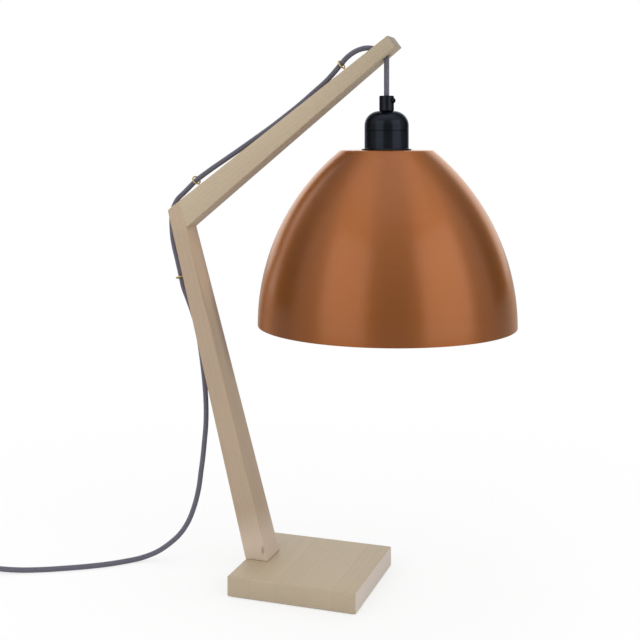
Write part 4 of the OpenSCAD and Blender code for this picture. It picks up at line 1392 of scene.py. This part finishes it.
    def eyes(self) -> None:
        """Models one screw eye, with the small gap where its wire ends, and sets copies on the arm and the post."""
        big, r, low = self.eye_radius, self.eye_wire, -self.eye_screw
        torus = bpy.ops.mesh.primitive_torus_add
        ring = BENCH.add("eye_upper", torus, major_radius=big, minor_radius=r, major_segments=56, minor_segments=16)
        side, deep = big * 0.3, 0.002
        gap = BENCH.block("eye_cutter", (big * 0.5, side, -deep), (big * 1.5, side + self.eye_gap, deep))
        BENCH.drill(ring, gap)
        BENCH.lay(ring, (0, 0, self.eye_height), (0, QUARTER, 0))
        shank = [(r * 0.3, low), (r * 0.8, low + 0.002), (r * 0.8, -0.0012), (r * 1.35, -0.0004)]
        shank += [(r * 1.35, 0.0002), (r, 0.0012), (r, self.eye_height - big + r * 0.4)]
        eye = BENCH.smooth(BENCH.join([ring, BENCH.turned("eye_stem", shank, sides=24)]), 40)
        twins = [eye, BENCH.copy(eye, "eye_lower"), BENCH.copy(eye, "eye_post")]
        on_arm, on_post = -PLAN.pitch, -QUARTER - PLAN.lean
        places = [
            (PLAN.tip_high - PLAN.arm_along * self.upper_eye_at, on_arm, "cable_eye_upper"),
            (PLAN.tip_high - PLAN.arm_along * self.lower_eye_at, on_arm, "cable_eye_lower"),
            (PLAN.foot_outer + PLAN.post_up * self.post_eye_at, on_post, "cable_eye_post"),
        ]
        for twin, turn, (place, lean, node) in zip(twins, self.eye_turns, places):
            BENCH.lay(twin, (0, 0, 0), (0, 0, turn))
            dress(BENCH.lay(twin, place, (0, lean, 0)), BRASS, Body.STAND, Slot.BRASS, node)


@dataclass
class Pendant:
    """Cord grip, lamp holder, shade and bulb, which hang on the flex. Heights are from the shade's flat top."""

    top: float = 0.478959
    rim_radius: float = 0.14
    top_radius: float = 0.05
    height: float = 0.189
    metal: float = 0.0008
    crown: float = 0.004
    sleeve: float = 0.0195
    sleeve_low: float = -0.024
    thread_step: float = 0.00125
    thread_depth: float = 0.0008
    thread_rings: int = 17
    holder: float = 0.024
    holder_wall: float = 0.002
    holder_bore: float = 0.0171
    joint: float = 0.0003
    flange: float = 0.027
    flange_height: float = 0.0015
    skirt_height: float = 0.0215
    spigot: float = 0.0218
    spigot_height: float = 0.005
    cap_height: float = 0.021
    shoulder: float = 0.016
    nipple: float = 0.0051
    grip: float = 0.008
    grip_height: float = 0.0165
    grip_edge: float = 0.0006
    grip_bore: float = 0.00295
    grip_seat: float = 0.008
    screw_drop: float = 0.0053
    screw_turn: float = math.radians(-17)
    screw_hole: float = 0.0016
    screw_profile: tuple[Pair, ...] = (
        (0.0015, -0.0048), (0.0015, 0), (0.0026, 0), (0.0029, 0.0003), (0.0029, 0.0013), (0.0022, 0.002),
    )
    ring: float = 0.027
    ring_bore: float = 0.0196
    ring_height: float = 0.01
    ring_edge: float = 0.0012
    ring_grooves: int = 48
    groove: Pair = (0.2, 0.5)
    groove_press: float = 0.965
    bulb_radius: float = 0.03
    bulb_cap: float = 0.0131
    bulb_low: float = -0.095
    bulb_neck: float = -0.016
    stub: Pair = (0.0527, 0.0374)
    core: float = 0.0018
    core_points: tuple[Pair, ...] = ((0.0009, 0.0385), (0.0012, 0.036), (0.004, 0.0335), (0.009, 0.0319))

    def put(self, piece: Piece, finish: Finish, slot: Slot, node: str) -> None:
        """Moves a piece that was modelled about the origin into the pendant and dresses it."""
        dress(BENCH.lay(piece, (PLAN.pivot.x, 0, self.top)), finish, Body.PENDANT, slot, node)

    def build(self) -> None:
        """Makes all of the pendant."""
        self.shade()
        self.neck()
        self.lamp_holder()
        self.clamp_ring()
        self.bulb()
        self.cores()
        refinish(STEEL, Slot.STEEL, "nipple")
        refinish(BRASS, Slot.BRASS, "screw_shell", "centre_contact", "terminal_screw_a", "terminal_screw_b")
        refinish(Glazed("white_ware", (0.8, 0.78, 0.73), (0.7, 0.68, 0.63), 0.16), Slot.PORCELAIN, "socket_insert")
        cap = DrawnMetal("rolled_cap", (0.74, 0.74, 0.73), (0.55, 0.55, 0.54), 0.31, (160.0, 160.0, 2400.0))
        refinish(cap, Slot.BULB_METAL, "bulb_cap")

    def shade(self) -> None:
        """Turns the dome from its rim up to its flat top, gives it its wall, and paints it white inside."""
        rise = self.rim_radius - self.top_radius
        bow = (rise**2 + self.height**2) / (2 * rise)
        centre = (self.rim_radius - bow, -self.height)
        inner = (bow - self.crown, -self.crown - centre[1])
        corner = (centre[0] + math.sqrt(inner[0] ** 2 - inner[1] ** 2), -self.crown)
        lean = math.degrees(math.atan2(inner[1], corner[0] - centre[0]))
        profile = arc(centre, bow, 0, lean, 60) + arc(corner, self.crown, lean, 90, 8)[1:]
        profile += [(profile[-1][0] * s, 0.0) for s in (0.85, 0.7)] + [(self.sleeve + 0.0005, 0.0)]
        dome = BENCH.turned("shade_dome", profile, Ends.OPEN, 180)
        copper = SpunMetal("brushed_copper", (PLAN.pivot.x, 0), (0.475, 0.156, 0.034), (0.395, 0.112, 0.016))
        inside = Satin("shade_white_lacquer", (0.8, 0.79, 0.76), (0.775, 0.765, 0.735), 0.5, 900.0)
        dome.data.materials.append(copper.material())
        dome.data.materials.append(inside.material())
        BENCH.modify(dome, "SOLIDIFY", thickness=self.metal, offset=-1, material_offset=1, material_offset_rim=0)
        self.put(BENCH.smooth(dome, 40), copper, Slot.COPPER, "shade")

    def neck(self) -> None:
        """Turns the cord grip, drills it for its side screw, and makes the screw with its slot."""
        low = self.skirt_height + self.cap_height
        high, seat = low + self.grip_height, low + self.grip_seat
        r, edge, bore = self.grip, self.grip_edge, self.grip_bore
        profile = [(self.nipple, low), (r - edge, low), (r, low + edge), (r, high - edge), (r - edge, high)]
        profile += [(bore + 0.0005, high), (bore, high - 0.0005), (bore, seat), (self.nipple, seat)]
        grip = BENCH.turned("grip_neck", profile, Ends.RING, 72)
        screw_at, turn = (0, 0, high - self.screw_drop), (0, QUARTER, self.screw_turn)
        BENCH.drill(grip, BENCH.lay(BENCH.rod("grip_cutter", self.screw_hole, 0.002, 0.02, 32), screw_at, turn))
        screw = BENCH.turned("grip_side_screw", [(x, r + z) for x, z in self.screw_profile], sides=40)
        BENCH.drill(screw, BENCH.block("slot_cutter", (-0.004, -0.0004, r + 0.0011), (0.004, 0.0004, r + 0.003)))
        BENCH.lay(screw, screw_at, turn)
        self.put(BENCH.smooth(grip), HOLDER_BLACK, Slot.HOLDER, "cord_grip")
        self.put(BENCH.smooth(screw), HOLDER_BLACK, Slot.HOLDER, "cord_grip_screw")

    def lamp_holder(self) -> None:
        """Turns the holder's domed cap and its skirt, with a fine open joint between them."""
        r, wall, joint, bow = self.holder, self.holder_wall, self.joint, self.shoulder
        low, high = self.skirt_height, self.skirt_height + self.cap_height
        middle = (r - bow, high - bow)
        profile = [(r - joint, low), (r, low + joint), *arc(middle, bow, 0, 90, 24), (self.nipple, high)]
        profile += [(self.nipple, high - wall), *arc(middle, bow - wall, 90, 0, 16), (r - wall, low)]
        cap = BENCH.turned("holder_dome", profile, Ends.RING)
        sleeve, deep, bore = self.sleeve, self.sleeve_low, self.holder_bore
        flange, thick, spigot, top = self.flange, self.flange_height, self.spigot, low + self.spigot_height
        rings = range(1, self.thread_rings + 1)
        thread = [(sleeve - self.thread_depth * (i % 2), deep + self.thread_step * i) for i in rings]
        profile = [(bore, deep), (sleeve - 0.0012, deep), *thread, (sleeve, -0.0008), (sleeve, 0)]
        profile += [(flange - joint, 0), (flange, joint), (flange, thick - 0.0005), (flange - 0.0005, thick)]
        profile += [(r + 0.0006, thick), (r, thick + 0.0006), (r, low - joint), (r - joint, low)]
        profile += [(spigot, low), (spigot, top), (bore, top)]
        skirt = BENCH.turned("holder_barrel", profile, Ends.RING)
        self.put(BENCH.smooth(cap), HOLDER_BLACK, Slot.HOLDER, "holder_cap")
        self.put(BENCH.smooth(skirt), HOLDER_BLACK, Slot.HOLDER, "holder_skirt")

    def clamp_ring(self) -> None:
        """Turns the ring that clamps the shade, and presses a grip into its outside."""
        r, bore, edge = self.ring, self.ring_bore, self.ring_edge
        high, low = -self.metal, -self.metal - self.ring_height
        profile = [(bore, low), (r - edge, low), (r, low + edge), (r, high - edge), (r - edge, high), (bore, high)]
        ring = BENCH.turned("clamp_ring", profile, Ends.RING, 144)

        def hollow(v: bmesh.types.BMVert) -> bool:
            """Says whether a point of the outside lies in a groove of the grip."""
            turn = math.atan2(v.co.y, v.co.x) / (2 * math.pi) * self.ring_grooves % 1
            return math.hypot(v.co.x, v.co.y) > r - 0.0003 and self.groove[0] < turn < self.groove[1]

        with BENCH.edit(ring):
            BENCH.pick(ring, "VERT", hollow)
            press = (self.groove_press, self.groove_press, 1)
            bpy.ops.transform.resize(value=press, center_override=(0, 0, 0))
        self.put(BENCH.smooth(ring), HOLDER_BLACK, Slot.HOLDER, "shade_ring")

    def bulb(self) -> None:
        """Turns the opal bulb: a ball whose sides run up into its neck."""
        r, neck = self.bulb_radius, self.bulb_cap
        centre = self.bulb_low + r
        rise = self.bulb_neck - centre
        turn = math.degrees(math.atan2(rise, neck) - math.acos(r / math.hypot(neck, rise)))
        profile = arc((0, centre), r, -88, turn, 40)
        (r0, z0), steps = profile[-1], 12
        shares = [i / steps for i in range(1, steps + 1)]
        profile += [(r0 + (neck - r0) * share, z0 + (self.bulb_neck - z0) * share) for share in shares]
        opal = Glazed("opal_glass", (0.86, 0.85, 0.82), (0.8, 0.79, 0.76), 0.2)
        self.put(BENCH.smooth(BENCH.turned("bulb_opal", profile), 50), opal, Slot.BULB_GLASS, "bulb_glass")

    def cores(self) -> None:
        """Leads the flex's two cores from the grip to the terminals."""
        flex = Flex(sides=14)
        pieces = [flex.tube("flex_in_holder", np.linspace(*((0, 0, z) for z in self.stub), 12))]
        for side in SIDES:
            line = flex.curve([(side * x, 0, z) for x, z in self.core_points])
            pieces.append(flex.tube("core", line, diameter=self.core))
        self.put(BENCH.join(pieces), BRAID, Slot.FLEX, "flex_cores")


@dataclass
class Switch:
    """Inline switch on the flex: two halves, a rocker, and the screws and contacts inside."""

    place: Point = (-0.408, -0.1, 0.0)
    length: float = 0.062
    width: float = 0.027
    height: float = 0.017
    split: float = 0.0085
    wall: float = 0.0018
    corner: float = 0.008
    edge: float = 0.0024
    joint_edge: float = 0.00025
    flex_bore: float = 0.00305
    flex_seat: float = 0.005
    rocker_radius: float = 0.014
    rocker_width: float = 0.011
    rocker_play: float = 0.0005
    rocker_top: float = 0.0102
    rocker_dish: float = 0.0018
    rocker_reach: float = 0.0125
    rocker_drop: float = 0.003
    rocker_under: float = 0.009
    rocker_edge: float = 0.0004
    pin_radius: float = 0.0015
    pin_half: float = 0.008

    def build(self) -> list[Piece]:
        """Makes the switch and returns its pieces."""
        screws = refinish(STEEL, Slot.STEEL, "switch_screw_a", "switch_screw_b")
        contacts = refinish(BRASS, Slot.BRASS, "switch_contact_a", "switch_contact_b")
        lower = self.half("switch_lower", 0, self.split, "switch_base")
        return [lower, self.cover(), self.rocker(), *screws, *contacts]

    def half(self, name: str, outer: float, joint: float, node: str) -> Piece:
        """Makes a half of the housing, hollow and rounded at its outer edges.

        Args:
            name: The piece's name.
            outer: Height of its outer face.
            joint: Height of the joint between the halves.
            node: The solid that it replaces.

        Returns:
            The piece.
        """
        x, y = self.length / 2, self.width / 2
        shell = BENCH.block(name, (-x, -y, min(outer, joint)), (x, y, max(outer, joint)))
        BENCH.soften(shell, self.corner, 8, runs(2))
        BENCH.soften(shell, self.edge, 5, rims(outer))
        depth = (outer - joint) * (1 - self.wall / self.split)
        with BENCH.edit(shell):
            BENCH.pick(shell, "FACE", lambda f: abs(f.calc_center_median().z - joint) < TINY)
            bpy.ops.mesh.inset(thickness=self.wall)
            bpy.ops.mesh.extrude_region_move(TRANSFORM_OT_translate={"value": (0, 0, depth)})
        BENCH.soften(shell, self.joint_edge, 2, rims(joint))
        for side in SIDES:
            bore = BENCH.rod("flex_cutter", self.flex_bore, 0, 2 * self.flex_seat, 32)
            place = (side * (x - self.flex_seat), 0, self.split)
            BENCH.drill(shell, BENCH.lay(bore, place, (0, side * QUARTER, 0)))
        BENCH.lay(BENCH.smooth(shell), self.place)
        return dress(shell, FITTING_BLACK, Body.STAND, Slot.FITTING, node)

    def cover(self) -> Piece:
        """Makes the upper half and cuts the rocker's window in it."""
        cover = self.half("switch_upper", self.height, self.split, "switch_cover")
        roof = self.height - self.wall - self.split
        reach = math.sqrt(self.rocker_radius**2 - roof**2) + self.rocker_play
        side = self.rocker_width / 2 + self.rocker_play
        low, high = self.height - 0.004, self.height + 0.002
        window = BENCH.block("window_cutter", (-reach, -side, low), (reach, side, high))
        BENCH.drill(cover, BENCH.lay(window, self.place))
        return BENCH.smooth(cover)

    def rocker(self) -> Piece:
        """Makes the dished rocker with its pin, cut to the circle that it tips on."""
        half, reach, drop, under = self.rocker_width / 2, self.rocker_reach, self.rocker_drop, self.rocker_under
        lying = (QUARTER, 0, 0)
        rocker = BENCH.rod("switch_key", self.rocker_radius, -half, half, 120)
        BENCH.lay(rocker, (0, 0, 0), lying)
        for side in SIDES:
            BENCH.cut(rocker, (side * reach, 0, 0), (side, 0, 0))
            BENCH.cut(rocker, (side * under, 0, -drop), (side * 2 * drop, 0, under - reach))
        BENCH.cut(rocker, (0, 0, -drop), (0, 0, -1))
        bowl_r = (reach**2 + self.rocker_dish**2) / (2 * self.rocker_dish)
        bowl = BENCH.rod("dish_cutter", bowl_r, -0.01, 0.01, 256)
        BENCH.drill(rocker, BENCH.lay(bowl, (0, 0, self.rocker_top + bowl_r), lying))
        BENCH.soften(rocker, self.rocker_edge, 3, turns(0.7))
        pin = BENCH.rod("pin", self.pin_radius, -self.pin_half, self.pin_half, 32)
        rocker = BENCH.smooth(BENCH.join([rocker, BENCH.lay(pin, (0, 0, 0), lying)]))
        BENCH.lay(rocker, (self.place[0], self.place[1], self.split))
        return dress(rocker, FITTING_BLACK, Body.ROCKER, Slot.FITTING, "switch_rocker")


@dataclass
class Plug:
    """Flat two-pin plug at the flex's end."""

    place: Point = (-0.54685, 0.01, 0.007)
    length: float = 0.036
    width: float = 0.035
    rear: float = 0.016
    front: float = 0.016
    thickness: float = 0.014
    edge: float = 0.0025
    groove: float = 0.0009
    groove_ways: tuple[float, ...] = (0.35, 0.51, 0.67, 0.83)
    pin_length: float = 0.019
    sleeve_length: float = 0.022
    sleeve_small: float = 0.0042
    sleeve_big: float = 0.0055
    sleeve_bore: float = 0.00305
    sleeve_root: float = 0.007
    ribs: int = 7
    rib_depth: float = 0.0007

    def build(self) -> list[Piece]:
        """Makes the plug and returns its pieces."""
        bare_from = self.place[1] + self.length + self.pin_length * 0.5
        pin = SleevedPin("sleeved_pin", bare_from, (0.016, 0.016, 0.017), (0.68, 0.67, 0.64))
        pins = refinish(pin, Slot.PIN, "plug_pin_a", "plug_pin_b")
        return [self.body(), self.sleeve(), *pins]

    def body(self) -> Piece:
        """Cuts the tapered body from a block, rounds it and presses finger grooves into its sides."""
        half, thick, rear = self.width / 2, self.thickness / 2, self.rear / 2
        body = BENCH.block("plug_shell", (-half, 0, -thick), (half, self.length, thick))
        taper = self.length - self.front
        for side in SIDES:
            BENCH.cut(body, (side * half, taper, 0), (side * taper, rear - half, 0))
        BENCH.soften(body, self.edge, 4)
        for side in SIDES:
            for way in self.groove_ways:
                groove = BENCH.rod("groove_cutter", self.groove, -0.01, 0.01, 16)
                x = rear + (half - rear) * way + 0.0002
                BENCH.drill(body, BENCH.lay(groove, (side * x, taper * way, 0)))
        BENCH.lay(BENCH.smooth(body), self.place)
        return dress(body, FITTING_BLACK, Body.STAND, Slot.FITTING, "plug_body")

    def sleeve(self) -> Piece:
        """Turns the ribbed sleeve that keeps the flex from kinking."""
        low, small, big, bore = -self.sleeve_length, self.sleeve_small, self.sleeve_big, self.sleeve_bore
        profile = [(bore, low), (small - 0.0004, low), (small, low + 0.0004)]
        for i in range(self.ribs):
            way = (i + 0.35) / self.ribs
            r, z = small + (big - small) * way, low - low * way
            inner = r - self.rib_depth
            profile += [(r, z), (inner, z + 0.0005), (inner, z + 0.0013), (r + 0.0001, z + 0.0018)]
        profile += [(big, 0), (small, 0), (small, self.sleeve_root), (bore, self.sleeve_root)]
        sleeve = BENCH.turned("plug_relief", profile, Ends.RING, 48)
        BENCH.lay(BENCH.smooth(sleeve), self.place, (-QUARTER, 0, 0))
        return dress(sleeve, FITTING_BLACK, Body.STAND, Slot.FITTING, "plug_sleeve")


def write_sizes() -> None:
    """Writes the box of the solids and the box of the dressed lamp."""
    bpy.context.view_layer.update()
    boxes = {"cad": CAD_BOX, "visual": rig.bounds()}
    with open(SIZE_FILE, "w") as out:
        json.dump({name: [list(corner) for corner in box] for name, box in boxes.items()}, out)


def main() -> None:
    """Builds the scene in order."""
    logging.basicConfig(level=logging.INFO, format="%(message)s")
    studio = Studio()
    studio.place_camera()
    flex = Flex()
    stretches, lines = flex.build()
    Stand().build()
    Pendant().build()
    flex.declare(stretches, lines, Switch().build(), Plug().build())
    studio.lay_floor()
    studio.hang_lamps()
    studio.set_world()
    write_sizes()


if __name__ == "__main__":
    main()
